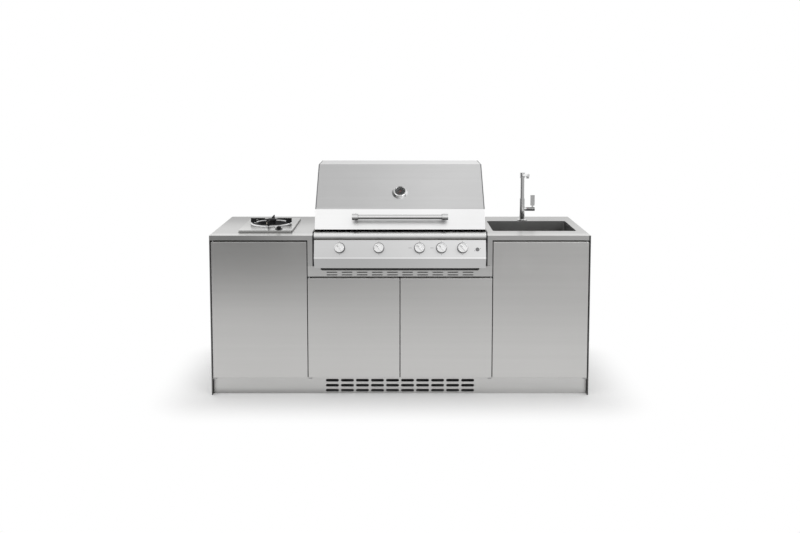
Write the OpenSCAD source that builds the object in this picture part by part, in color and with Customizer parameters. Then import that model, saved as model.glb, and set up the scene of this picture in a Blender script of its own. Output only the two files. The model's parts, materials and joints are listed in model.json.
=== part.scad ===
// Outdoor kitchen: folded steel cabinets under one worktop, with a gas barbecue,
// a single gas hob, a sink and a mixer tap.
// Sizes are in millimetres. X runs to the right, Y runs back from the doors, Z up from the floor.

/* [Cabinets] */
// Overall width, outside face to outside face of the end panels
kitchen_w = 2100; // [2060:10:2400]
// Depth from the door fronts to the back panel
kitchen_d = 650; // [620:5:720]
// Height of the worktop above the floor
worktop_h = 900; // [860:5:950]
// Width of the centre bay, to the middle of the door gaps beside it
centre_bay_w = 1024; // [1016:2:1060]
// Thickness of the folded sheet in the worktop, end panels and carcass
sheet_t = 2; // [1.2:0.1:2.5]
// Height of the folded worktop edge
worktop_t = 26; // [22:1:34]
// Thickness of a partition between two bays
partition_t = 20; // [16:1:26]
// Height of the folded edge round a base shelf
shelf_t = 20; // [15:1:26]
// Visible front edge of an end panel
end_edge_w = 6; // [5:0.5:9]
// Folded edge of the back panel
back_t = 10; // [8:1:16]
// Height of the base shelves' underside above the floor
toe_h = 95; // [88:1:120]
// How far the plinth stands back from the door fronts
plinth_setback = 28; // [26:1:40]
// Drop of the vent strip's top edge below the worktop
strip_drop = 171; // [170:1:180]
// Height of the vent strip over the centre doors
strip_h = 57; // [52:1:66]

/* [Doors] */
// Thickness of a door
door_t = 20; // [18:1:24]
// Wall of a door's folded skin
door_wall = 1.5; // [1:0.1:2]
// Gap between two doors
door_gap = 5; // [4:0.5:7]
// Gap between a side door and the end panel's edge
end_gap = 4; // [4:0.5:6]
// Gap between the back of the doors and the carcass
carcass_gap = 4; // [4:0.5:8]
// Gap under the doors, down to the base shelf's underside
door_foot_gap = 3; // [2:0.5:5]
// Finger gap over a side door
finger_gap = 7; // [6:0.5:12]
// Finger gap over a centre door
centre_finger_gap = 8; // [6:0.5:12]
// Bevel along a door's top edge
door_bevel = 5; // [3:0.5:7]
// Distance of a door's pivot from its two outer faces
pivot_inset = 8; // [7:0.5:8.5]
// Radius of a door's pivot pin
pivot_r = 4; // [3:0.5:5]
// Depth of a pivot pin in its door
pivot_depth = 20; // [14:1:30]
// Thickness of a pivot bracket
bracket_t = 3; // [2:0.5:4]

/* [Plinth vents and vent strip] */
// Width of one plinth slot
slot_w = 72.8; // [60:0.2:76]
// Height of one plinth slot
slot_h = 15.4; // [10:0.2:20]
// Spacing of the plinth slots along the width
slot_pitch_x = 84.3; // [80:0.1:92]
// Spacing of the plinth slots up the height
slot_pitch_z = 28.8; // [24:0.1:30]
// Height of the middle row of slots above the floor
slot_mid_z = 45.5; // [44:0.5:50]
// Number of slots in a row
slot_columns = 10; // [6:1:12]
// Number of rows of slots
slot_rows = 3; // [1:1:3]
// Width of one slit in the vent strip
slit_w = 58; // [40:1:66]
// Height of one slit in the vent strip
slit_h = 5; // [3:0.5:7]
// Spacing of the slits along the width
slit_pitch_x = 83.4; // [74:0.1:90]
// Distance between the two rows of slits
slit_pitch_z = 15; // [12:0.5:17]
// Height of the lower row of slits above the strip's bottom edge
slit_foot = 9; // [7:0.5:12]

/* [Barbecue body] */
// Width of the barbecue's front and hood
bbq_w = 943; // [900:1:950]
// Sheet thickness of the barbecue
bbq_wall = 2; // [1.5:0.1:2.5]
// Front of the firebox, behind the door fronts
firebox_front = 30; // [29:1:36]
// Back of the firebox, behind the door fronts
firebox_back = 520; // [500:1:530]
// Depth of the firebox below the worktop
firebox_drop = 170; // [150:1:170]
// Height of the firebox's front and back walls above the worktop
firebox_rise = 15; // [8:1:16]
// Thickness of the black side trims
trim_t = 6; // [4:0.5:8]
// Gap between the side trims and the worktop
trim_gap = 2; // [1:0.5:4]
// How far the firebox sides stand out past the front panel
front_inset = 2.5; // [1:0.5:4]
// Strip of worktop cut-out left behind the firebox
rear_gap = 15; // [10:1:25]
// Top of the front rail above the worktop
rail_top = 19; // [16:1:20]
// Bottom of the front rail below the worktop
rail_drop = 12; // [8:1:16]
// How far the front rail stands out past the door fronts
rail_reach = 26; // [20:1:30]
// Radius of the front rail's nose
rail_nose_r = 10; // [7:0.5:12]
// Top of the control panel below the worktop
panel_top_drop = 23; // [20:1:28]
// Bend of the control panel below the worktop
panel_bend_drop = 124; // [116:1:130]
// Foot of the control panel below the worktop
panel_foot_drop = 179; // [176:1:179]
// How far the panel's top edge stands out past the door fronts
panel_top_reach = 5; // [3:0.5:8]
// How far the panel's bend stands out past the door fronts
panel_bend_reach = 30; // [26:0.5:34]
// How far the panel's foot stands out past the door fronts
panel_foot_reach = 10; // [8:0.5:14]

/* [Hood] */
// Gap from the worktop up to the hood's bottom edge
hood_foot_z = 29; // [26:1:34]
// Depth of the hood's front bottom edge behind the door fronts
hood_foot_y = 30; // [26:1:36]
// Height of the hood's lower bend above the worktop
hood_bend_z = 137; // [125:1:150]
// Depth of the hood's lower bend
hood_bend_y = 68; // [60:1:80]
// Height of the hood's top above the worktop
hood_top_z = 365; // [340:1:380]
// Depth of the hood's upper bend
hood_brow_y = 290; // [270:1:310]
// Gap between the firebox's back and the hood's back
hood_overhang = 6; // [4:0.5:10]
// Thickness of the hood's end plates
hood_end_t = 6; // [4:0.5:8]
// Height of the hood's pivot above its bottom edge
hood_pivot_z = 16; // [14:0.5:18]
// Distance of the hood's pivot in front of the hood's back
hood_pivot_y = 21; // [19:0.5:23]
// Radius of the hood's pivot pins
hood_pin_r = 5; // [4:0.5:6]
// Length of the handle over its end pieces
handle_w = 525; // [460:1:600]
// Radius of the handle bar
handle_r = 12.5; // [10:0.5:14]
// Radius of the handle's end pieces
ferrule_r = 17; // [15:0.5:19]
// Length of a handle end piece
ferrule_w = 33; // [28:1:40]
// Radius of the posts that hold the handle
post_r = 9; // [7:0.5:11]
// How far the handle's axis stands out past the door fronts
handle_reach = 15; // [10:1:20]
// Height of the handle's axis above the worktop
handle_z = 107; // [95:1:115]
// Distance of the thermometer up the slope from the lower bend
gauge_along = 115; // [90:1:180]
// Radius of the thermometer's base
gauge_r = 45.5; // [42:0.5:50]
// Radius of the thermometer's face
gauge_face_r = 30; // [27:0.5:33]
// Height of the thermometer's rim
gauge_h = 17; // [14:0.5:20]

/* [Controls] */
// Radius of a barbecue knob
knob_r = 26.5; // [22:0.5:28]
// Distance of a knob's face from the panel
knob_len = 38; // [32:1:44]
// Share of the panel's upper slope that lies above the knobs' axes
knob_place = 0.42; // [0.35:0.01:0.5]
// Radius of the dark bezel behind a knob
bezel_r = 30; // [28.5:0.5:33]
// Thickness of a bezel
bezel_t = 4; // [3:0.5:5]
// Radius of a valve spindle
spindle_r = 4; // [3:0.5:5]
// Radius of the ignition button
button_r = 10; // [8:0.5:12]
// Travel of the ignition button
button_travel = 4; // [2:0.5:5]

/* [Hob] */
// Width of the hob plate
hob_w = 300; // [290:1:320]
// Depth of the hob plate
hob_d = 437; // [420:1:450]
// Height of the hob plate above the worktop
hob_rise = 12; // [9:0.5:15]
// Place of the hob plate's middle, left of the kitchen's middle
hob_x = 757; // [750:1:770]
// Front edge of the hob plate behind the door fronts
hob_front = 93; // [85:1:100]
// Place of the burner's middle behind the door fronts
burner_y = 333; // [320:1:345]
// Outer radius of the chrome ring
ring_r = 118; // [114:1:122]
// Inner radius of the chrome ring
ring_hole_r = 96; // [90:1:98]
// Radius of the burner cap
cap_r = 29; // [26:0.5:34]
// Top of the pan support above the worktop
support_top = 43; // [38:1:48]
// Radius of the hob knob's grip
hob_grip_r = 12.5; // [10:0.5:14]

/* [Sink and tap] */
// Width of the sink opening
sink_w = 474; // [440:1:480]
// Depth of the sink opening, front to back
sink_d = 342; // [320:1:350]
// Place of the sink's middle, right of the kitchen's middle
sink_x = 763; // [758:1:768]
// Front edge of the sink opening behind the door fronts
sink_front = 145; // [135:1:150]
// Depth of the bowl
bowl_h = 180; // [150:1:200]
// Corner radius of the bowl
bowl_corner_r = 15; // [10:1:25]
// Wall of the bowl
bowl_wall = 1.5; // [1:0.1:2]
// Radius of the waste hole
waste_r = 45; // [40:1:50]
// Place of the tap, right of the kitchen's middle
tap_x = 745; // [735:1:760]
// Distance of the tap's axis behind the sink opening
tap_back = 35; // [33:1:45]
// Radius of the tap's lower body
tap_r = 17; // [15:0.5:19]
// Height of the tap's lower body
tap_body_h = 133; // [120:1:145]
// Radius of the tap's riser
riser_r = 13.5; // [12:0.5:14.5]
// Height of the tap over the worktop
tap_h = 292; // [270:1:320]
// Reach of the spout
spout_reach = 150; // [130:1:180]
// Radius of the spout
spout_r = 8.5; // [7:0.5:10]
// Height of the mixer's axis above the worktop
mixer_z = 68; // [55:1:80]

/* [Hidden] */
$fn = 64;

// Clearances and small shared sizes
cut = 1;
fit = 0.05;
seat = 0.3;

// Where the bays and panels stand
half_w = kitchen_w / 2;
edge_x = half_w - end_edge_w;
skin_x = half_w - sheet_t;
bay_x = centre_bay_w / 2;
part_in = bay_x - partition_t / 2;
part_out = bay_x + partition_t / 2;
carcass_y = door_t + carcass_gap;
back_y = kitchen_d - back_t;
top_under = worktop_h - worktop_t;
strip_top = worktop_h - strip_drop;
strip_foot = strip_top - strip_h;
door_foot = toe_h + door_foot_gap;
side_door_top = top_under - finger_gap;
centre_door_top = strip_foot - centre_finger_gap;
side_door_in = bay_x + door_gap / 2;
side_door_out = edge_x - end_gap;
centre_door_in = door_gap / 2;
centre_door_out = bay_x - door_gap / 2;
side_pivot_x = side_door_out - pivot_inset;
centre_pivot_x = centre_door_out - pivot_inset;
bush_h = pivot_depth + 4;
bush_w = 2 * (pivot_inset - door_wall / 2);
bracket_w = pivot_inset + 4;

// Barbecue body
bbq_half = bbq_w / 2;
fire_half = bbq_half + front_inset;
trim_half = fire_half + trim_t;
cutout_half = trim_half + trim_gap;
cutout_back = firebox_back + rear_gap;
fire_floor = worktop_h - firebox_drop;
side_wall_top = worktop_h + hood_foot_z - seat;
ledge_w = 16;
ledge_t = 2;
tamer_drop = 66;
grate_drop = 24;
burner_drop = 95;
tamer_ledge_z = worktop_h - tamer_drop;
grate_ledge_z = worktop_h - grate_drop;
burner_z = worktop_h - burner_drop;
neck_r = 8;
burner_tube_r = 16;
grease_w = 120;
grease_d = 120;
grease_y = 220;

// Panel tilt, and the place of a knob's axis on it
tilt = atan((panel_bend_reach - panel_top_reach) / (panel_bend_drop - panel_top_drop));
knob_y = -panel_top_reach - knob_place * (panel_bend_reach - panel_top_reach);
knob_z = worktop_h - panel_top_drop - knob_place * (panel_bend_drop - panel_top_drop);
knob_xs = [-331, -116, 107, 227, 343];
burner_xs = [-331, -116, 107, 343];
button_x = 425;
button_drop = 8;
knob_chamfer = 2;
knob_face_r = knob_r - knob_chamfer;
knob_side_reach = (knob_len - knob_chamfer) * cos(tilt) + knob_r * sin(tilt);
knob_face_reach = knob_len * cos(tilt) + knob_face_r * sin(tilt);
front_y = knob_y - max(knob_side_reach, knob_face_reach);
mid_y = (kitchen_d + front_y) / 2;

// Hood
hood_back = firebox_back + hood_overhang;
pivot_y = hood_back - hood_pivot_y;
pivot_z = worktop_h + hood_foot_z + hood_pivot_z;
hood_end_in = bbq_half - hood_end_t;
slope_tilt = atan2(hood_top_z - hood_bend_z, hood_brow_y - hood_bend_y);
gauge_y = hood_bend_y + gauge_along * cos(slope_tilt);
gauge_z = worktop_h + hood_bend_z + gauge_along * sin(slope_tilt);
ear_r = 14;
trim_rise = 22;
trim_ear_drop = 20;
swing_r = norm([hood_pivot_y, hood_pivot_z]);
side_wall_back = pivot_y - swing_r - 8;
needle_pin_r = 1.2;
handle_y = -handle_reach;

// Drip tray and the rails that carry it
tray_top = worktop_h - panel_foot_drop - 1.5;
tray_foot = tray_top - 9;
tray_half = 423;
tray_flange_w = 11;
tray_back = 470;
tray_sheet = 1.2;
tray_ledge_w = 4;
tray_ledge_t = 0.5;
tray_floor_gap = 0.1;
tray_floor_t = 0.6;
notch_gap = 3;
notch_half = tray_half + tray_flange_w + notch_gap;
flange_drop = 2;
rail_t = 3;

// Hob, sink and tap places
burner_x = -hob_x;
hob_top = worktop_h + hob_rise;
hob_back = hob_front + hob_d;
hob_knob_right = 71;
hob_knob_back = 46;
hob_knob_x = -hob_x + hob_knob_right;
hob_knob_y = hob_front + hob_knob_back;
hob_cutout_margin = 15;
ring_h = 6;
sink_back = sink_front + sink_d;
tap_y = sink_back + tap_back;
bowl_top = worktop_h - sheet_t;
bowl_floor = bowl_top - bowl_h;
spout_turn = 5;
spout_rise = 6;
hub_r = riser_r + 3.5;
hub_h = 33;
mixer_r = 11.5;
sleeve_x = 44;
lever_x = 63;
sleeve_end = 76;

// Pipe passes in the back panel: [x, z, bore radius]
gas_pass_in = 82;
water_pass_left = 123;
gas_pass = [bay_x - gas_pass_in, 200, 17.5];
water_pass = [sink_x - water_pass_left, 560, 17.5];
waste_pass = [sink_x, 440, 27];

// Shared helpers

// Everything is drawn from the door fronts back, then moved so that the origin
// is the middle of the floor area
module place() { translate([0, -mid_y, 0]) children(); }

// Both sides, mirrored about the kitchen's middle
module both_sides() {
    children();
    mirror([1, 0, 0]) children();
}

// Extrudes an outline drawn in Y and Z along X, from x0 to x1
module along_x(x0, x1) {
    translate([x0, 0, 0]) rotate([90, 0, 90]) linear_extrude(height = x1 - x0) children();
}

// Extrudes an outline drawn in X and Z along Y, from y0 to y1
module along_y(y0, y1) {
    translate([0, y1, 0]) rotate([90, 0, 0]) linear_extrude(height = y1 - y0) children();
}

// A block between two corners
module block(low, high) { translate(low) cube(high - low); }

// A block folded from sheet, open underneath
module folded_block(low, high, wall) {
    difference() {
        block(low, high);
        block(low + [wall, wall, -cut], high - [wall, wall, wall]);
    }
}

// A rod along X, along Y or along Z
module rod_x(x0, x1, y, z, r) { translate([x0, y, z]) rotate([0, 90, 0]) cylinder(h = x1 - x0, r = r); }
module rod_y(x, y0, y1, z, r) { translate([x, y0, z]) rotate([-90, 0, 0]) cylinder(h = y1 - y0, r = r); }
module rod_z(x, y, z0, z1, r) { translate([x, y, z0]) cylinder(h = z1 - z0, r = r); }

// A slot outline with round ends
module slot_outline(w, h) {
    square([w - h, h], center = true);
    for (s = [-1, 1]) translate([s * (w - h) / 2, 0]) circle(d = h);
}

// A rectangle outline with round corners
module round_outline(w, d, r) {
    square([w - 2 * r, d], center = true);
    square([w, d - 2 * r], center = true);
    for (sx = [-1, 1], sy = [-1, 1]) translate([sx * (w / 2 - r), sy * (d / 2 - r)]) circle(r = r);
}

// Moves each side of an outline inwards by t; its points run anticlockwise
function left_of(a, b) = let (d = (b - a) / norm(b - a)) [-d.y, d.x];
function inset_corner(a, b, c, t) =
    let (m = left_of(a, b), n = left_of(b, c)) b + t * (m + n) / (1 + m * n);
function inset_outline(p, t) =
    [for (i = [0:len(p) - 1])
        inset_corner(p[(i + len(p) - 1) % len(p)], p[i], p[(i + 1) % len(p)], t)];

// Puts +Z along the control panel's outward normal, at a knob's height or further down the slope
module on_panel(x, down = 0) {
    translate([x, knob_y, knob_z]) rotate([90 - tilt, 0, 0]) translate([0, -down, 0]) children();
}

// Puts +Z along the hood slope's outward normal, at the thermometer's foot
module on_slope() {
    translate([0, gauge_y, gauge_z]) rotate([slope_tilt, 0, 0]) translate([0, 0, fit]) children();
}

// Cabinets

module end_panel() {
    difference() {
        block([edge_x, 0, 0], [half_w, kitchen_d, top_under]);
        block([edge_x - cut, sheet_t, sheet_t], [skin_x, kitchen_d - sheet_t, top_under - sheet_t]);
    }
}
module end_panel_left() { color("darkgray") place() mirror([1, 0, 0]) end_panel(); }
module end_panel_right() { color("darkgray") place() end_panel(); }

module partition() {
    folded_block([part_in, carcass_y, toe_h], [part_out, back_y, top_under], sheet_t);
}
module partition_left() { color("silver") place() mirror([1, 0, 0]) partition(); }
module partition_right() { color("silver") place() partition(); }

module base_shelves() {
    color("silver") place() {
        folded_block([-part_in, carcass_y, toe_h], [part_in, back_y, toe_h + shelf_t], sheet_t);
        both_sides()
            folded_block([part_out, carcass_y, toe_h], [edge_x, back_y, toe_h + shelf_t], sheet_t);
    }
}

module back_panel() {
    color("silver") place() difference() {
        block([-edge_x, back_y, toe_h], [edge_x, kitchen_d, top_under]);
        block([sheet_t - edge_x, back_y - cut, toe_h + sheet_t],
              [edge_x - sheet_t, kitchen_d - sheet_t, top_under - sheet_t]);
        for (p = [gas_pass, water_pass, waste_pass])
            rod_y(p.x, back_y, kitchen_d + cut, p.y, p.z + grommet_wall);
    }
}
grommet_wall = 4;
grommet_lip = 5;
grommet_lip_t = 3;

module service_grommets() {
    lip_y = kitchen_d - sheet_t - grommet_lip_t;
    color("black") place()
        for (p = [gas_pass, water_pass, waste_pass]) difference() {
            union() {
                rod_y(p.x, lip_y, lip_y + grommet_lip_t, p.y, p.z + grommet_wall + grommet_lip);
                rod_y(p.x, lip_y, kitchen_d, p.y, p.z + grommet_wall);
            }
            rod_y(p.x, back_y, kitchen_d + cut, p.y, p.z);
        }
}

plinth_h = toe_h - bracket_t;
plinth_flange = 22;

module plinth() {
    color("silver") place() {
        difference() {
            block([-edge_x, plinth_setback, 0], [edge_x, plinth_setback + sheet_t, plinth_h]);
            translate([0, 0, slot_mid_z])
                along_y(plinth_setback - cut, plinth_setback + sheet_t + cut)
                    for (i = [0:slot_columns - 1], k = [0:slot_rows - 1])
                        translate([(i - (slot_columns - 1) / 2) * slot_pitch_x,
                                   (k - (slot_rows - 1) / 2) * slot_pitch_z])
                            slot_outline(slot_w, slot_h);
        }
        for (z = [0, plinth_h - sheet_t])
            block([-edge_x, plinth_setback + sheet_t, z],
                  [edge_x, plinth_setback + plinth_flange, z + sheet_t]);
    }
}

foot_xs = [-half_w + 60, -part_out - 60, -part_in + 60, part_in - 60, part_out + 60, half_w - 60];
foot_ys = [plinth_setback + 60, back_y - 60];
foot_pad_r = 25;
foot_pad_h = 8;
foot_stud_r = 6;
foot_nut_h = 10;
foot_nut_z = foot_pad_h + 12;

module adjustable_feet() {
    color("dimgray") place()
        for (x = foot_xs, y = foot_ys) {
            rod_z(x, y, 0, foot_pad_h, foot_pad_r);
            rod_z(x, y, foot_pad_h, toe_h + shelf_t - sheet_t, foot_stud_r);
            rod_z(x, y, foot_nut_z, foot_nut_z + foot_nut_h, 2 * foot_stud_r);
        }
}

// One side of the worktop, with the strip of fascia that runs down beside the barbecue
module worktop_side() {
    folded_block([cutout_half, 0, top_under], [half_w, kitchen_d, worktop_h], sheet_t);
    block([cutout_half, 0, strip_top], [centre_door_out, sheet_t, top_under]);
    block([cutout_half, sheet_t, strip_top], [cutout_half + sheet_t, carcass_y, top_under]);
}

module worktop_left() {
    color("silver") place() difference() {
        mirror([1, 0, 0]) worktop_side();
        block([burner_x - hob_w / 2 + hob_cutout_margin, hob_front + hob_cutout_margin, top_under - cut],
              [burner_x + hob_w / 2 - hob_cutout_margin, hob_back - hob_cutout_margin, worktop_h + cut]);
    }
}

module worktop_right() {
    color("silver") place() difference() {
        worktop_side();
        translate([sink_x, (sink_front + sink_back) / 2, bowl_top - cut])
            linear_extrude(height = sheet_t + 2 * cut) round_outline(sink_w, sink_d, bowl_corner_r);
        rod_z(tap_x, tap_y, bowl_top - cut, worktop_h + cut, shank_r + seat);
    }
}
shank_r = 14;
bowl_flange = 10;

module worktop_rear() {
    color("silver") place()
        folded_block([-cutout_half, cutout_back, top_under], [cutout_half, kitchen_d, worktop_h], sheet_t);
}

module vent_strip() {
    color("silver") place() difference() {
        union() {
            block([-centre_door_out, 0, strip_foot], [centre_door_out, sheet_t, strip_top]);
            block([-centre_door_out, sheet_t, strip_foot],
                  [centre_door_out, carcass_y, strip_foot + sheet_t]);
        }
        block([-notch_half, -cut, tray_foot - 1], [notch_half, sheet_t + cut, strip_top + cut]);
        for (i = [0:slot_columns - 1], k = [0, 1])
            translate([(i - (slot_columns - 1) / 2) * slit_pitch_x, 0,
                       strip_foot + slit_foot + k * slit_pitch_z])
                block([-slit_w / 2, -cut, -slit_h / 2], [slit_w / 2, sheet_t + cut, slit_h / 2]);
    }
}

bracket_y = 1;
bracket_reach = 20;

// The upper and lower bracket of one door
module bracket_pair(pivot_x, far_x, top_z, top_depth) {
    difference() {
        union() {
            block([pivot_x - bracket_w, bracket_y, top_z - bracket_t], [far_x, top_depth, top_z]);
            block([pivot_x - bracket_w, bracket_y, plinth_h], [far_x, plinth_setback - 0.5, toe_h]);
        }
        for (z = [plinth_h, top_z - bracket_t])
            rod_z(pivot_x, pivot_inset, z - cut, z + bracket_t + cut, pivot_r);
    }
}

module hinge_brackets() {
    color("dimgray") place() both_sides() {
        bracket_pair(side_pivot_x, edge_x, top_under, carcass_y + bracket_reach);
        bracket_pair(centre_pivot_x, centre_door_out, strip_foot, carcass_y);
    }
}

hood_pin_in = hood_end_in - 4;

module hinge_pins() {
    color("silver") place() both_sides() {
        rod_z(side_pivot_x, pivot_inset, plinth_h, door_foot + pivot_depth, pivot_r);
        rod_z(side_pivot_x, pivot_inset, side_door_top - pivot_depth, top_under, pivot_r);
        rod_z(centre_pivot_x, pivot_inset, plinth_h, door_foot + pivot_depth, pivot_r);
        rod_z(centre_pivot_x, pivot_inset, centre_door_top - pivot_depth, strip_foot, pivot_r);
        rod_x(hood_pin_in, trim_half, pivot_y, pivot_z, hood_pin_r);
    }
}

// Doors

function door_outline(z0, z1) =
    [[0, z0], [door_t, z0], [door_t, z1], [door_bevel, z1], [0, z1 - door_bevel]];

// One door, hinged on its right edge
module door(x0, x1, top_z) {
    pivot_x = x1 - pivot_inset;
    difference() {
        union() {
            difference() {
                along_x(x0, x1) polygon(door_outline(door_foot, top_z));
                along_x(x0 + door_wall, x1 - door_wall)
                    polygon(inset_outline(door_outline(door_foot - 2 * door_wall - cut, top_z), door_wall));
            }
            intersection() {
                along_x(pivot_x - bush_w / 2, x1) polygon(door_outline(door_foot, top_z));
                union() for (z = [door_foot, top_z - bush_h])
                    block([pivot_x - bush_w / 2, 0, z], [x1, door_t, z + bush_h]);
            }
        }
        for (z = [door_foot, top_z - bush_h])
            rod_z(pivot_x, pivot_inset, z - cut, z + bush_h + cut, pivot_r + fit);
    }
}
module side_door() { door(side_door_in, side_door_out, side_door_top); }
module centre_door() { door(centre_door_in, centre_door_out, centre_door_top); }
module door_left() { color("lightgray") place() mirror([1, 0, 0]) side_door(); }
module door_right() { color("lightgray") place() side_door(); }
module door_centre_left() { color("lightgray") place() mirror([1, 0, 0]) centre_door(); }
module door_centre_right() { color("lightgray") place() centre_door(); }

// Barbecue body

rail_top_z = fire_floor;
rail_foot_z = rail_top_z - rail_t;
rail_inset = 16;
rail_back_gap = 40;
rail_drop_leg = 30;

// Angle rails on the partitions; they carry the firebox and, on a lower lip, the drip tray
module support_rails() {
    lip_z = tray_top - flange_drop - rail_t - seat;
    color("dimgray") place() both_sides() along_y(carcass_y + rail_inset, back_y - rail_back_gap) {
        translate([tray_half + 2, rail_foot_z]) square([part_in - tray_half - 2, rail_t]);
        translate([part_in - rail_t, tray_foot - rail_drop_leg])
            square([rail_t, rail_top_z - tray_foot + rail_drop_leg]);
        translate([notch_half, lip_z]) square([rail_t, rail_top_z - lip_z]);
        translate([tray_half + notch_gap, lip_z])
            square([notch_half - tray_half - notch_gap + rail_t, rail_t]);
    }
}

module ledge_frame(z, side_w) {
    difference() {
        block([-fire_half + bbq_wall, firebox_front + bbq_wall, z],
              [fire_half - bbq_wall, firebox_back - bbq_wall, z + ledge_t]);
        block([-fire_half + bbq_wall + side_w, firebox_front + bbq_wall + ledge_w, z - cut],
              [fire_half - bbq_wall - side_w, firebox_back - bbq_wall - ledge_w, z + ledge_t + cut]);
    }
}

module firebox() {
    color("gray") place() {
        difference() {
            block([-fire_half, firebox_front, fire_floor],
                  [fire_half, firebox_back, worktop_h + firebox_rise]);
            block([-fire_half + bbq_wall, firebox_front + bbq_wall, fire_floor + bbq_wall],
                  [fire_half - bbq_wall, firebox_back - bbq_wall, worktop_h + firebox_rise + cut]);
            block([-grease_w / 2, grease_y, fire_floor - cut],
                  [grease_w / 2, grease_y + grease_d, fire_floor + bbq_wall + cut]);
            for (x = burner_xs)
                rod_y(x, firebox_front - cut, firebox_front + bbq_wall + cut, burner_z, neck_r + seat);
        }
        ledge_frame(tamer_ledge_z, ledge_t);
        ledge_frame(grate_ledge_z, ledge_w);
        both_sides() {
            block([fire_half - bbq_wall, firebox_front, worktop_h + firebox_rise],
                  [fire_half, side_wall_back, side_wall_top]);
            block([hood_end_in - 2, firebox_front + bbq_wall, side_wall_top - bbq_wall],
                  [fire_half - bbq_wall, side_wall_back, side_wall_top]);
        }
    }
}

// Black plates down both sides, each with an ear that holds a hood pin
module bbq_side_trims() {
    color("black") place() both_sides() difference() {
        union() {
            block([fire_half, -panel_top_reach + 1, fire_floor],
                  [trim_half, firebox_back - trim_ear_drop, worktop_h + trim_rise]);
            rod_x(fire_half, trim_half, pivot_y, pivot_z, ear_r);
            block([fire_half, pivot_y - ear_r, worktop_h], [trim_half, pivot_y + ear_r, pivot_z]);
            block([fire_half, firebox_back - trim_ear_drop - cut, fire_floor],
                  [trim_half, firebox_back, worktop_h]);
        }
        rod_x(fire_half - cut, trim_half + cut, pivot_y, pivot_z, hood_pin_r);
    }
}

rail_chin = 6;

// Outline of the front rail in Y and Z, drawn in by t; the nose is a true arc
module rail_outline(t, back) {
    z0 = worktop_h - rail_drop + t;
    z1 = worktop_h + rail_top - t;
    nose_z = worktop_h + rail_top - rail_nose_r;
    nose_y = -rail_reach + rail_nose_r;
    polygon([[back, z0], [-rail_reach + rail_chin + t, z0], [-rail_reach + t, nose_z],
             [nose_y, nose_z], [nose_y, z1], [back, z1]]);
    translate([nose_y, nose_z]) circle(r = rail_nose_r - t);
}

module front_rail() {
    color("gainsboro") place() difference() {
        along_x(-bbq_half, bbq_half) rail_outline(0, firebox_front);
        along_x(-bbq_half + bbq_wall, bbq_half - bbq_wall) rail_outline(bbq_wall, firebox_front + cut);
    }
}

function panel_outline(back, drop) =
    let (kick = (panel_bend_reach - panel_foot_reach) / (panel_foot_drop - panel_bend_drop))
    [[-panel_foot_reach + drop * kick, worktop_h - panel_foot_drop - drop],
     [back, worktop_h - panel_foot_drop - drop],
     [back, worktop_h - panel_top_drop],
     [-panel_top_reach, worktop_h - panel_top_drop],
     [-panel_bend_reach, worktop_h - panel_bend_drop]];

hem_w = 7;
panel_hole_r = 2 * spindle_r + 1;

module panel_hole(x, r, down = 0) {
    on_panel(x, down) translate([0, 0, -bbq_wall - cut]) cylinder(h = bbq_wall + 2 * cut, r = r);
}

module control_panel() {
    color("gainsboro") place() difference() {
        union() {
            difference() {
                along_x(-bbq_half, bbq_half) polygon(panel_outline(firebox_front, 0));
                along_x(-bbq_half + bbq_wall, bbq_half - bbq_wall) polygon(
                    inset_outline(panel_outline(firebox_front + 2 * bbq_wall, 2 * bbq_wall), bbq_wall));
            }
            block([-bbq_half, -panel_foot_reach, worktop_h - panel_foot_drop],
                  [bbq_half, -panel_foot_reach + hem_w, worktop_h - panel_foot_drop + bbq_wall]);
        }
        block([-bbq_half - cut, -seat, worktop_h - panel_foot_drop - cut],
              [bbq_half + cut, firebox_front + cut, strip_top + seat]);
        for (x = knob_xs) panel_hole(x, panel_hole_r);
        panel_hole(button_x, button_r + fit, button_drop);
    }
}

module knob_bezels() {
    color("dimgray") place() for (x = knob_xs) on_panel(x) difference() {
        union() {
            cylinder(h = bezel_t - 1, r = bezel_r);
            cylinder(h = bezel_t, r = bezel_r - 1);
        }
        translate([0, 0, -cut]) cylinder(h = bezel_t + 2 * cut, r = panel_hole_r);
    }
}

valve_len = 28;
valve_r = 12;
valve_nut_r = 16;
valve_nut_h = 3;
valve_stem_r = 6;
spindle_end = 4;
jet_r = 4;
manifold_r = 8.5;
manifold_y = 4;
manifold_drop = 118;
manifold_z = worktop_h - manifold_drop;

// Valve bodies, each with a spindle bore, a foot on the manifold and a jet into its burner
module gas_valves() {
    color("goldenrod") place() for (x = knob_xs) {
        difference() {
            union() {
                on_panel(x) {
                    translate([0, 0, -bbq_wall - valve_nut_h]) cylinder(h = valve_nut_h, r = valve_nut_r);
                    translate([0, 0, -bbq_wall - valve_len]) cylinder(h = valve_len - 2, r = valve_r);
                }
                rod_z(x, manifold_y, manifold_z + manifold_r + 0.2, knob_z - 5, valve_stem_r);
            }
            on_panel(x) translate([0, 0, -bbq_wall - valve_len + spindle_end])
                cylinder(h = valve_len, r = spindle_r + fit);
        }
        if (x != knob_xs[3]) rod_y(x, manifold_y, firebox_front, burner_z, jet_r);
    }
}

pipe_x = 455;
pipe_back_y = 62;
pipe_elbow_y = 14;
pipe_drop = 202;
pipe_low_z = worktop_h - pipe_drop;
pipe_tail_h = 34;
inlet_r = 10.5;
inlet_h = 16;

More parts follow.
